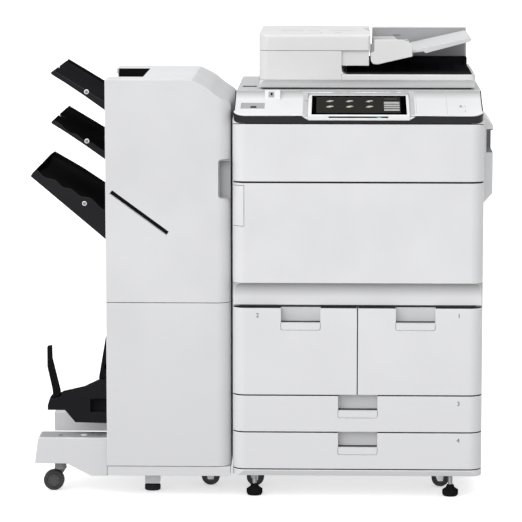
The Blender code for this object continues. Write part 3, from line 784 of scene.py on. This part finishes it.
def cut_panel_valleys(deck):
    """Valleys beside the touch panel with grey plates of painted shade, and dark strips along the deck's
    two sides.
    """
    tools = []
    for side, sign, edge in (("left", -1, -134.4), ("right", 1, 136.4)):
        outer, inner = edge + sign * 14, edge - sign * 3
        slope = [(outer, DECK_TOP + 0.01), (inner, 1034.0), (inner, 1042), (outer, 1042)]
        tools.append(prism("S", slope, -6, 119))
        # grey plates down the valley slopes: painted shade
        outer, inner = edge + sign * 13.6, edge + sign * 0.5
        plate = [(outer, 1037.04), (inner, 1034.72), (inner, 1034.1), (outer, 1036.4)]
        dress(prism("S", plate, 1.5, 117.5), f"panel_valley_painted_shade_{side}", "base", "shell_shade", 0.0)
    low, high = span("panel_deck")[0]
    profile = [(34.4, 1045.2)] + [(d, z - 0.5) for d, z in PANEL_RISE] + [(164.3, 1069.4), (34.4, 1037.0)]
    for side, outer, inner in (("left", low, low + 3.4), ("right", high, high - 3.4)):
        sign = 1 if inner > outer else -1
        tools.append(prism("S", rectangle(sorted((outer - sign, inner)), (1028, 1070)), 34, 170))
        strip = prism("X", profile, *sorted((outer + sign * 0.3, inner - (0.2 if sign > 0 else 0.0))))
        dress(strip, f"panel_edge_{side}", "base", "trim_dark", 0.4)
    cut(deck, *tools)


def make_panel_lines():
    """What continues on the steeper rise behind the deck, with the valleys' painted shade, and the card
    reader's seams.
    """
    above = [(d, z + 0.12) for d, z in PANEL_RISE]
    sheet = above + [(d, z - 0.9) for d, z in above[::-1]]
    # the valley sheets are painted shade; the seam sheets carry the card reader's seams up the rise
    for name, x in (
        ("valley_painted_shade_rise_left", (-148, -134.9)),
        ("valley_painted_shade_rise_right", (136.9, 150)),
        ("seam_rise_0", (154.2, 155.3)),
        ("seam_rise_1", (235.4, 236.5)),
    ):
        dress(prism("X", sheet, *x), f"panel_{name}", "base", "shell_shade", 0.0)
    for i, x in enumerate((154.2, 235.4)):
        line = prism("T", rectangle((x, x + 1.1), (8, 116)), 1036.7, 1037.08)
        dress(line, f"card_seam_{i}", "base", "shell_shade", 0.0)


def make_card_marks():
    """A generic card with two waves, printed beside the card reader."""
    shapes = [rounded((269.5, 276.5), (62, 80), 0.8, 3)]
    for radius in (4.5, 8.0):
        shapes.append(arc(277.5, 71, radius, -45, 45, 6) + arc(277.5, 71, radius - 1.3, 45, -45, 6))
    shapes.append(rectangle((283.5, 284.9), (26, 42)))
    for i, shape in enumerate(shapes):
        mark = prism("T", shape, DECK_TOP, DECK_TOP + 0.12)
        dress(mark, f"card_mark_{i}", "base", "wall_grey", 0.0)


def make_control_panel():
    deck = copy_of("panel_deck")
    cut_panel_valleys(deck)
    make_panel_lines()
    # the deck's finish carries painted shade up its rise towards the reader
    dress(deck, "panel_deck_skin", "base", "deck_white", 1.2, 2, 28.0, ("panel_deck",))
    block = [(118.6, 1064.2), (118.6, 1070.3), (148, 1091.0), (164.7, 1091.0), (164.7, 1076)]
    dress(prism("X", block, -251.3, -209.7), "sensor_block", "base", "shell_white", 0.8)
    for side, sign, edge in (("left", -1, -134.5), ("right", 1, 136.5)):
        far, bend = edge + sign * 15, edge + sign * 4
        outline = [(edge, 1033.5), (edge, 1025.0), (bend, 1026.2), (far, 1033.0), (far, 1033.5)]
        dress(prism("D", outline, 0.2, 3.9), f"panel_fairing_{side}", "base", "shell_light", 0.5)
    socket = prism("T", rounded((-288, -272), (60, 72), 2), 1035.1, 1036.6)
    cut(socket, prism("T", rounded((-285, -275), (63.5, 68.5), 1), 1035.8, 1040))
    dress(socket, "port_socket", "base", "trim_dark", 0.3)
    liner = prism("T", rounded((-313.8, -250.2), (51.3, 101.7), 1.0), 1035.02, 1035.5)
    dress(liner, "port_floor", "base", "wall_grey", 0.1)
    window = prism("X", [(123.3, 1073.5), (141.8, 1086.8), (140.9, 1087.9), (122.4, 1074.6)], -241, -226)
    dress(window, "sensor_window", "base", "wall_grey", 0.3)
    eye = prism("X", [(128.3, 1078.8), (135.8, 1084.2), (134.9, 1085.3), (127.4, 1079.9)], -235, -230.5)
    dress(eye, "sensor_eye", "base", "screen_dark", 0.2)
    make_card_marks()


GLASS_TOP = 1038.5  # the screen's surface


def make_icons(level):
    """Three columns of white icons over three columns of yellow ones, two flat shapes in each."""
    count = 0
    for d, tint in ((107.0, "icon_white"), (63.0, "icon_yellow")):
        for x in (-76.0, -23.5, 29.5):
            low = [(x - 10, d - 5), (x + 1, d - 8), (x + 4, d - 1), (x - 5, d + 4)]
            high = [(x - 4, d + 2), (x + 6, d - 3), (x + 11, d + 2), (x + 5, d + 7), (x - 3, d + 6)]
            for shape, rise in ((low, 0.06), (high, 0.09)):
                count += 1
                piece = prism("T", shape, level, level + rise)
                dress(piece, f"screen_icon_{count}", "touch_module", tint, 0.0)


def make_touch_module():
    slot = prism("D", rounded((-79, 79.5), (1029.4, 1033.3), 1.9), -4, -1.2)
    skin("touch_panel", "shell_light", 1.2, 3, cuts=(slot,))
    bar = prism("D", rounded((-78.7, 79.2), (1029.7, 1033.0), 1.6), -2.3, -1.25)
    dress(bar, "touch_slot_bar", "touch_module", "screen_dark", 0.1)
    lamp = prism("D", rounded((49, 60), (1030.4, 1032.3), 0.9), -2.7, -2.2)
    dress(lamp, "touch_lamp", "touch_module", "lamp_teal", 0.1)
    skin("touch_screen", "screen_dark", 0.3)
    page_top = GLASS_TOP + 0.06
    page = prism("T", rounded((-112, 112.5), (12, 142), 1.5), GLASS_TOP, page_top)
    dress(page, "screen_page", "touch_module", "screen_page", 0.0)
    make_icons(page_top)
    for row, d in enumerate(((123, 128), (86, 102), (66, 80), (50, 61), (30, 43))):
        right, tint = (110, "icon_white") if row else (104, "hub_grey")
        bar = prism("T", rounded((68.5, right), d, 1.0, 3), GLASS_TOP, GLASS_TOP + 0.12)
        dress(bar, f"screen_list_{row}", "touch_module", tint, 0.0)


def make_rear():
    skin("rear_cover", "shell_white", 1.0)
    plan = rounded((-HALF_WIDTH + 0.6, HALF_WIDTH - 0.6), (680.6, 778.4), (2, 2, 29.4, 29.4), 8)
    deck = prism("Z", plan, 1027.2, 1033.5)
    left_ends = (-250, -45, 160)
    cut(deck, *[box((x - 2, x + 92), (697, 745), (1032.4, 1040)) for x in left_ends])
    dress(deck, "rear_top_deck", "base", "shell_white", 0.4)
    for i, x in enumerate(left_ends):
        grille = box((x - 1.6, x + 91.6), (697.4, 744.6), (1032.3, 1033.3))
        cut(grille, *[box((x + 2, x + 88), (d, d + 6), (1032.8, 1040)) for d in range(700, 748, 12)])
        dress(grille, f"rear_top_grille_{i}", "base", "shell_grey", 0.2)
    inlet = prism("D", rounded((216.4, 249.6), (120.4, 143.6), 3), 764, 778.6)
    cut(inlet, prism("D", rounded((221, 245), (124.5, 139.5), 3), 768, 790))
    fuse(inlet, *[box((x - 1.2, x + 1.2), (766, 776), (129, 136)) for x in (227, 233, 239)])
    dress(inlet, "power_inlet_socket", "base", "trim_dark", 0.4)
    plate = prism("D", rounded((120, 190), (110, 150), 2), 778.9, 779.4)
    dress(plate, "rear_blank_plate", "base", "steel", 0.1)
    for side, x in (("left", -165), ("right", 165)):
        grille = prism("D", rounded(about(x, 62), (300, 420), 10), 778.5, 780.6)
        holes = [rounded(about(x, 54), (z, z + 6), 3, 4) for z in range(308, 408, 12)]
        cut(grille, *[prism("D", hole, 770, 790) for hole in holes])
        dress(grille, f"rear_grille_{side}", "base", "shell_grey", 0.6)
    places = [(x, z) for z in (100, 560, 1000) for x in (-300, 300)] + [(0, 1000), (0, 100)]
    for i, (x, z) in enumerate(places):
        screw(f"rear_screw_{i}", "base", "D", x, z, 780.6, 778.6)


# ------------ document feeder


def corner_tool(x, d, radius, z, sign_x=-1, sign_d=-1, steps=10):
    """What lies outside a rounded vertical corner at (x, d)."""
    centre_x, centre_d = x - sign_x * radius, d - sign_d * radius
    past_x, past_d = x + sign_x * 4, d + sign_d * 4
    reach_x, reach_d = sign_x * radius, sign_d * radius
    turns = [math.radians(90 * i / steps) for i in range(steps + 1)]
    curve = [(centre_x + reach_x * math.sin(a), centre_d + reach_d * math.cos(a)) for a in turns]
    outline = [(centre_x, past_d), (past_x, past_d), (past_x, centre_d)] + curve[::-1]
    return prism("Z", outline, z[0], z[1])


FEEDER_LEFT, FEEDER_FRONT = -268, 176


def make_feeder_base():
    left, right = span("feeder_base")[0]
    skin(
        "feeder_base",
        "feeder_base_white",
        1.4,
        joins=[box((36, 307), (564, 600), (1232, 1238.5))],
        cuts=[
            box((30, 41), (560, 604), (1150, 1242)),
            corner_tool(left, 175, 26, (1080, 1140)),
            corner_tool(right, 175, 14, (1080, 1140), 1),
            box((-272, -44.5), (170, 192), (1116.7, 1136)),
            box((-272, 320), (170, 604), (1090, 1094.4)),
        ],
    )
    shade = prism("X", [(562.6, 1140), (563.8, 1140), (563.8, 1236.5), (562.6, 1236.5)], 42.5, 303)
    dress(shade, "feeder_wall_face", "feeder", "wall_grey", 0.3)
    mark = prism("D", rounded((100, 121), (1213.5, 1217.5), 1.5, 4), 562.1, 562.7)
    dress(mark, "feeder_wall_mark", "feeder", "frame_grey", 0.0)
    # a dark strip in the gap under the feeder: painted shadow
    gap_shadow_strip = box((-258, 306), (200, 590), (1090.7, 1094.6))
    dress(gap_shadow_strip, "feeder_gasket", "feeder", "painted_gap_shadow", 0.3)
    # painted light: the exit tray takes the lighter tray black to lift the shade under the feeder
    skin("feeder_exit_tray", "tray_shade", 0.8)
    for i, x in enumerate(range(60, 300, 40)):
        rib = prism("D", [(x, 1136.0), (x + 3, 1136.0), (x + 2, 1138.0), (x + 1, 1138.0)], 200, 540)
        dress(rib, f"exit_rib_{i}", "feeder", "tray_shade", 0.2)


def make_feeder_body():
    skin(
        "feeder_body",
        "feeder_white",
        1.2,
        joins=[box((FEEDER_LEFT, -44.8), (FEEDER_FRONT, 191.7), (1117, 1134))],
        cuts=[
            corner_tool(FEEDER_LEFT, FEEDER_FRONT, 26, (1110, 1200)),
            box((-44.8, 40), (170, 182.5), (1150, 1200)),
            box((-280, 40), (170, 604), (1195.2, 1200)),
        ],
    )
    keep("pickup_roller", "tyre_rubber")


def make_feeder_cover():
    right, back, top = 33, 598, 1240
    side = [(FEEDER_FRONT, 1196.3), (back, 1196.3), (back, top - 6), (back - 6, top)]
    side += [(192, top), (184, 1239.3), (178.5, 1236.5), (FEEDER_FRONT, 1231)]
    cover = prism("X", side, FEEDER_LEFT, right)
    cut(
        cover,
        box((-258, 25), (188, 586), (1190, 1231)),
        corner_tool(FEEDER_LEFT, FEEDER_FRONT, 26, (1190, 1250)),
        corner_tool(right, FEEDER_FRONT, 10, (1190, 1250), 1),
    )
    name = "feeder_top_cover"
    dress(cover, f"{name}_skin", "feeder_cover", "feeder_white", 0.8, 2, 28.0, (name,))
    # grey plates in the cover's shallow recesses: painted shade
    for i, x in enumerate(((-212, -149), (-137, -101), (-77, -5))):
        inlay = prism("Z", rounded(x, (334, 372), 6), 1239.8, 1240.25)
        dress(inlay, f"feeder_top_recess_shade_{i}", "feeder_cover", "shell_grey", 0.1)
    # a grey plate in the notch at the cover's right end: painted shade
    notch = prism("Z", [(13, 482), (32.6, 482), (32.6, 305)], 1239.8, 1240.25)
    dress(notch, "feeder_top_notch_shade", "feeder_cover", "shell_shade", 0.1)
    lamp = turned("Z", (-55, 250), [(12, 1239.5), (12, 1240.0), (10.5, 1240.3)], 28)
    dress(lamp, "feeder_top_button", "feeder_cover", "shell_shade", 0.2)
    dot = turned("Z", (-101, 243), [(3.0, 1239.5), (3.0, 1240.2)], 16)
    dress(dot, "feeder_top_dot", "feeder_cover", "ink_grey", 0.0)


def make_document_tray():
    side = [(40, 1160), (52, 1158.8), (146, 1180.5), (146, 1213), (118, 1225.5)]
    side += [(44, 1225.5), (43, 1193), (34, 1190), (34, 1168)]
    far_notch = [(28, 1212), (102, 1212), (112, 1203), (150, 1199.5), (150, 1240), (28, 1240)]
    tray = prism("D", side, 178, 558)
    cut(
        tray,
        prism("D", [(30, 1170), (150, 1197), (150, 1235), (30, 1235)], 190, 546),
        prism("D", far_notch, 544, 560),
    )
    dress(tray, "document_tray_skin", "feeder", "feeder_white", 1.4, 3, 28.0, ("document_tray",))
    under = [(140, 1176), (182, 1176), (182, 1188.4), (176, 1193), (146, 1189.5), (140, 1189)]
    skin("document_tray_extension", "shell_grey", 1.2, cuts=(prism("D", under, 185, 260),))
    for side in ("front", "rear"):
        skin(f"document_guide_{side}", "shell_shade", 0.8)
    for i, d in enumerate((262, 300, 340, 380, 420, 460)):
        rib = prism("D", [(52, 1174.6), (140, 1194.6), (140, 1195.8), (52, 1175.8)], d, d + 2)
        dress(rib, f"tray_rib_{i}", "feeder", "shell_grey", 0.2)


# ------------ right side


def make_bypass():
    skin("bypass_tray", "shell_white", 1.4, cuts=(box((347.5, 372), (176, 300), (921, 984)),))
    skin("bypass_extension", "shell_grey", 0.8)
    # a dark lining in the grip recess: painted shade inside it
    cup = box((347.8, 364.6), (180.6, 299.7), (921.3, 983.7))
    cut(cup, prism("X", rounded((170, 297), (924, 981), 6), 349.3, 372))
    dress(cup, "bypass_grip_cup_painted_shade", "bypass", "frame_grey", 0.5)


# ------------ running gear


def make_foot(node, body, pad):
    x, d, z = span(node)
    u, v = (x[0] + x[1]) / 2, (d[0] + d[1]) / 2
    radius = (x[1] - x[0]) / 2
    knurled = []
    for i in range(72):
        angle = math.radians(5 * i)
        reach = radius if i % 4 < 2 else radius - 1.0
        knurled.append((u + reach * math.cos(angle), v + reach * math.sin(angle)))
    base = turned("Z", (u, v), [(radius - 4, 0.0), (radius - 1.4, 3.0), (radius - 1.4, 6.0)], 36)
    cone = [(radius - 1.8, 15), (radius - 3.5, 19), (radius - 9, 22.5), (11.5, 24)]
    cone += [(9.0, pad + 5), (7.0, pad + 5)]
    fuse(base, prism("Z", knurled, 5, 17), turned("Z", (u, v), cone, 32))
    dress(base, f"{node}_pad", body, "tray_black", 0.4, replaces=(node,))
    thread = [(6.0, pad + 3)]
    level = pad + 4.0
    while level < z[1] - 1.2:
        thread += [(6.4, level), (5.5, level + 0.9)]
        level += 1.8
    thread.append((5.8, z[1]))
    dress(turned("Z", (u, v), thread, 24), f"{node}_stem", body, "steel", 0.0)
    nut = prism("Z", circle(u, v, 10.5, 6), z[1] - 5, z[1])
    dress(nut, f"{node}_nut", body, "steel", 0.7)


def make_hub(name, body, centre, radius, level, inward):
    """A stepped disc with six round holes; inward is the sign of the way into the wheel."""
    steps = ((0.6, 1.2), (0.56, -0.1), (0.3, 0.5), (0.26, -0.3))
    hub = turned("D", centre, [(radius * share, level + inward * rise) for share, rise in steps], 32)
    holes = []
    for k in range(6):
        angle = math.radians(60 * k)
        u = centre[0] + radius * 0.43 * math.cos(angle)
        v = centre[1] + radius * 0.43 * math.sin(angle)
        holes.append(prism("D", circle(u, v, radius * 0.07, 12), level - 2, level + 2))
    cut(hub, *holes)
    dress(hub, name, body, "hub_grey", 0.0)


def make_wheel(node, body):
    x, d, z = span(node)
    centre = ((x[0] + x[1]) / 2, (z[0] + z[1]) / 2)
    radius = (z[1] - z[0]) / 2
    near, far = d
    shoulder = [(radius * 0.62, 1.0), (radius * 0.66, 0.0), (radius - 3, 0.0)]
    shoulder += [(radius - 0.8, 1.4), (radius, 4)]
    profile = [(reach, near + rise) for reach, rise in shoulder]
    profile += [(reach, far - rise) for reach, rise in shoulder[::-1]]
    tyre = turned("D", centre, profile, 40)
    dress(tyre, f"{node}_tyre", body, "tyre_rubber", 0.0, replaces=(node,))
    make_hub(f"{node}_hub_near", body, centre, radius, near, 1)
    make_hub(f"{node}_hub_far", body, centre, radius, far, -1)


def make_running_gear():
    for side in ("left", "right"):
        make_foot(f"leveler_{side}", f"leveler_{side}", 26)
        skin(f"caster_fork_{side}", "steel", 0.5)
        make_wheel(f"caster_wheel_{side}", f"wheel_{side}")
        make_wheel(f"rear_wheel_{side}", f"rear_wheel_{side}")
    skin("finisher_foot", "flange_black", 1.0)
    make_wheel("finisher_wheel", "finisher_wheel")
    skin("outrigger_fork", "frame_grey", 0.6)
    make_wheel("outrigger_wheel", "arm_wheel")


# ------------ finisher


SHOULDER_POINTS = [(-462, 1128), (-443, 1126.3), (-420, 1115.5), (-398, 1103), (-380, 1087.5)]
SHOULDER_POINTS += [(-360, 1073.5), (-347.5, 1064.5), (-341.5, 1056), (-339.3, 1046)]
SHOULDER = curve_through(SHOULDER_POINTS, 3)
FINISHER_TOP = SHOULDER_POINTS[0][1]
FINISHER_LEFT, FINISHER_RIGHT = span("finisher_door_lower")[0]
FINISHER_SEAM = span("finisher_door_upper")[2][0]


def finisher_corner(low, high, inset=0.0):
    """What lies outside the rounded front corner of the finisher's doors."""
    return corner_tool(FINISHER_RIGHT - inset, 15 + inset, 36 - inset, (low, high), 1, -1, 8)


def make_finisher_body():
    skin("finisher_frame", "finisher_white", 1.0)
    skin("finisher_exit_liner", "tray_black", 0.6)
    under = [(FINISHER_RIGHT, 1046), (-342.6, 1046), (-342.6, 1044.4), (-353.6, 1056.4)]
    under += [(-447.8, 1112.4), (FINISHER_LEFT, 1112.4)]
    cover = prism("D", [(FINISHER_LEFT, FINISHER_TOP)] + SHOULDER + under, 50.4, 566)
    cut(cover, box((-690, -579.6), (130.6, 462.4), (1000, 1140)))
    name = "finisher_top_cover"
    dress(cover, f"{name}_skin", "base", "finisher_white", 1.4, 3, 30.0, (name,))
    # grey sheets on the shoulder's slope, over the top cover and the upper door: painted shade on the side
    # turned from the light
    slope = [p for p in SHOULDER if p[0] > -446]
    sheet = slope + [(x - 0.9, z - 1.2) for x, z in slope[::-1]]
    sheet = [(x + 0.15, z + 0.2) for x, z in sheet]
    dress(prism("D", sheet, 51.5, 565), "shoulder_painted_shade", "base", "shell_grey", 0.0)
    facing = prism("D", sheet, 17.0, 49.5)
    cut(facing, corner_tool(FINISHER_RIGHT - 1.5, 16.5, 35, (1000, 1140), 1, -1, 8))
    dress(facing, "door_shoulder_sheet", "finisher_door", "shell_grey", 0.0)
    strip = box((-665, -632), (52, 60), (1127.4, 1128.3))
    dress(strip, "finisher_top_slot", "base", "shell_shade", 0.3)


def make_finisher_upper_door():
    foot = [(FINISHER_LEFT, FINISHER_SEAM), (FINISHER_RIGHT, FINISHER_SEAM)]
    door = prism("D", foot + SHOULDER[::-1] + [(FINISHER_LEFT, FINISHER_TOP)], 15, 50)
    slot = [(-663.0, 823.4), (-511.7, 712.4), (-504.5, 722.1), (-655.8, 833.1)]
    cut(
        door,
        finisher_corner(500, 1140),
        prism("D", slot, 10, 30),
        prism("D", rounded((-371.8, -330), (812.6, 915.4), (7, 0, 0, 7)), 5, 38),
    )
    name = "finisher_door_upper"
    dress(door, f"{name}_skin", "finisher_door", "finisher_white", 1.2, 3, 30.0, (name,))
    inlay = prism("D", [(-662.4, 823.5), (-511.7, 712.9), (-505.0, 722.0), (-655.8, 832.6)], 22, 29.6)
    dress(inlay, "staple_slot_inlay", "finisher_door", "tray_black", 0.2)
    # a grey rail along the slot's lower edge; its grey is also a painted highlight line in the dark slot
    rail = prism("D", [(-662.2, 823.4), (-511.7, 713.0), (-510.9, 714.1), (-661.4, 824.5)], 17.0, 22.4)
    dress(rail, "staple_slot_highlight_rail", "finisher_door", "shell_shade", 0.2)
    # a grey lining in the grip recess: painted shade inside it
    cup = prism("D", rounded((-370.7, -340.4), (813.7, 914.3), (6, 0, 0, 6)), 17.5, 37.7)
    cut(cup, prism("D", rounded((-368.9, -330), (815.5, 912.5), (5, 0, 0, 5)), 10, 35.5))
    dress(cup, "finisher_grip_cup_painted_shade", "finisher_door", "wall_grey", 0.5)


def make_finisher_lower_door():
    foot, head = 84.9, FINISHER_SEAM - 1.6
    lower = prism("D", rectangle((FINISHER_LEFT, FINISHER_RIGHT), (foot, head)), 15, 50)
    cut(lower, finisher_corner(70, 540))
    name = "finisher_door_lower"
    dress(lower, f"{name}_skin", "finisher_door", "finisher_white", 1.2, 3, 30.0, (name,))
    # dark strips along the lower door's top and bottom edges: painted shadow lines
    for name, low in (("high", head + 0.05), ("low", 84.1)):
        strip = box((FINISHER_LEFT + 1.4, FINISHER_RIGHT - 1.4), (16.4, 49.6), (low, low + 0.7))
        cut(strip, finisher_corner(low - 5, low + 5, SHADOW_LINE_INSET))
        dress(strip, f"finisher_seal_{name}", "finisher_door", "painted_gap_shadow", 0.0)


def make_tray_boss(node, u, v, near):
    """A pale washer round a dark screw on a tray's near flange."""
    washer = turned("D", (u, v), [(6.4, near + 6), (6.4, near + 1.0), (5.4, near + 0.2)], 28)
    cut(washer, prism("D", circle(u, v, 4.1, 24), near - 2, near + 8))
    dress(washer, f"{node}_washer", BODY_OF[node], "shell_light", 0.0)
    screw(f"{node}_screw", BODY_OF[node], "D", u, v, near + 0.4, near + 5, 3.7, "wall_grey")


FINISHER_WALL = -674.6


def make_output_tray(node, drop, wavy):
    """Sloping floor between a near flange, scalloped or straight, and a plain far one."""
    body = BODY_OF[node]
    near, far = span(node)[1]

    def slab(outline, low, high):
        return prism("D", [(u, v - drop) for u, v in outline], low, high)

    foot = [(-821, 1141.8), (-736, 1085), (FINISHER_WALL, 1041.5)]
    top = [(-815, 1149), (-740, 1104), (FINISHER_WALL, 1064)]
    waves = [(-800, 1140), (-775, 1117), (-752, 1109), (-735, 1094), (-712, 1087), (-690, 1071)]
    crest = top[:1] + waves + top[2:] if wavy else top
    flange = slab(foot + curve_through(crest, 4)[::-1], near + 3, near + 11)
    cut(flange, prism("D", circle(-725.7, 1092.6 - drop, 6.5, 24), near, near + 5.0))
    dress(flange, f"{node}_flange_near", body, "flange_black", 0.9, 2, 40.0, (node,))
    dress(slab(foot + top[::-1], far - 8, far), f"{node}_flange_far", body, "tray_black", 0.9)
    plane = [(-821, 1144.5), (FINISHER_WALL, 1056.6), (FINISHER_WALL, 1048), (-821, 1139)]
    floor = slab(plane, near + 10.5, far - 7.5)
    cut(floor, prism("Z", circle(-826, 290, 22, 28), 900, 1200))
    dress(floor, f"{node}_floor", body, "tray_black" if wavy else "tray_shade", 0.9)
    make_tray_boss(node, -725.7, 1092.6 - drop, near)


def make_large_tray():
    node, wall = "output_tray_3", -675.6
    body = BODY_OF[node]
    near, far = span(node)[1]
    foot = [(-878, 866), (wall, 695)]
    waves = [(-861, 883), (-840, 862), (-812, 855), (-792, 836), (-768, 830)]
    waves += [(-745, 812), (-716, 806), (-692, 782), (wall, 772)]
    flange = prism("D", foot + curve_through(waves, 4)[::-1], near + 3, near + 13)
    dress(flange, f"{node}_flange_near", body, "flange_black", 0.9, 2, 40.0, (node,))
    top = [(wall, 767), (-685, 773), (-783, 838), (-861, 883)]
    dress(prism("D", foot + top, far - 10, far), f"{node}_flange_far", body, "tray_black", 0.9)
    floor = prism("D", [(-868, 874), (wall, 766), (wall, 757), (-868, 868)], near + 12.5, far - 9.5)
    cut(floor, prism("Z", circle(-880, 315, 26, 28), 800, 950))
    lip = [(-878, 866), (-868, 860), (-864, 881), (-872, 875)]
    fuse(floor, prism("D", lip, near + 13, 282), prism("D", lip, 348, far - 10))
    dress(floor, f"{node}_floor", body, "tray_black", 0.9)
    make_tray_boss(node, -733, 793, near)


def make_booklet_end():
    backing = [(-838, 236), (-832, 261), (-818, 267), (-798, 270), (-760, 266), (-760, 228), (-790, 228)]
    skin("booklet_tray", "tray_shade", 1.0, joins=(prism("D", backing, 112.8, 117),))
    skin("booklet_stopper", "tray_black", 1.2)
    skin("booklet_flap", "tray_black", 0.7)
    skin("outrigger_arm", "finisher_white", 2.4, 3)
    plate = prism("Z", rounded((-861, -677), (63.5, 146.5), 3, 4), 152.6, 153.4)
    dress(plate, "arm_top_plate", "base", "wall_grey", 0.3)
    # a dark strip in the gap beside the arm: painted shadow
    gap_shadow_strip = box((-677.4, -674.5), (59.3, 70), (49, 152.4))
    dress(gap_shadow_strip, "arm_gasket", "base", "painted_gap_shadow", 0.2)
    bosses = ((-806, 92, 6.5), (-742, 96, 9.0), (-724, 120, 5.0), (-700, 88, 5.0))
    for i, (u, v, radius) in enumerate(bosses):
        dome = [(radius, 153.2), (radius, 154.6), (radius - 1.5, 155.6), (radius * 0.4, 155.2)]
        # the second boss takes the light shell colour: a painted highlight
        tint = "shell_light" if i == 1 else "frame_grey"
        dress(turned("Z", (u, v), dome, 24), f"arm_boss_{i}", "base", tint, 0.0)


make_camera()
make_light()
make_floor()
make_front_door()
make_fronts()
make_main_body()
make_control_panel()
make_touch_module()
make_rear()
make_feeder_base()
make_feeder_body()
make_feeder_cover()
make_document_tray()
make_bypass()
make_running_gear()
make_finisher_body()
make_finisher_upper_door()
make_finisher_lower_door()
make_output_tray("output_tray_1", 0.0, False)
make_output_tray("output_tray_2", 132.0, True)
make_large_tray()
make_booklet_end()
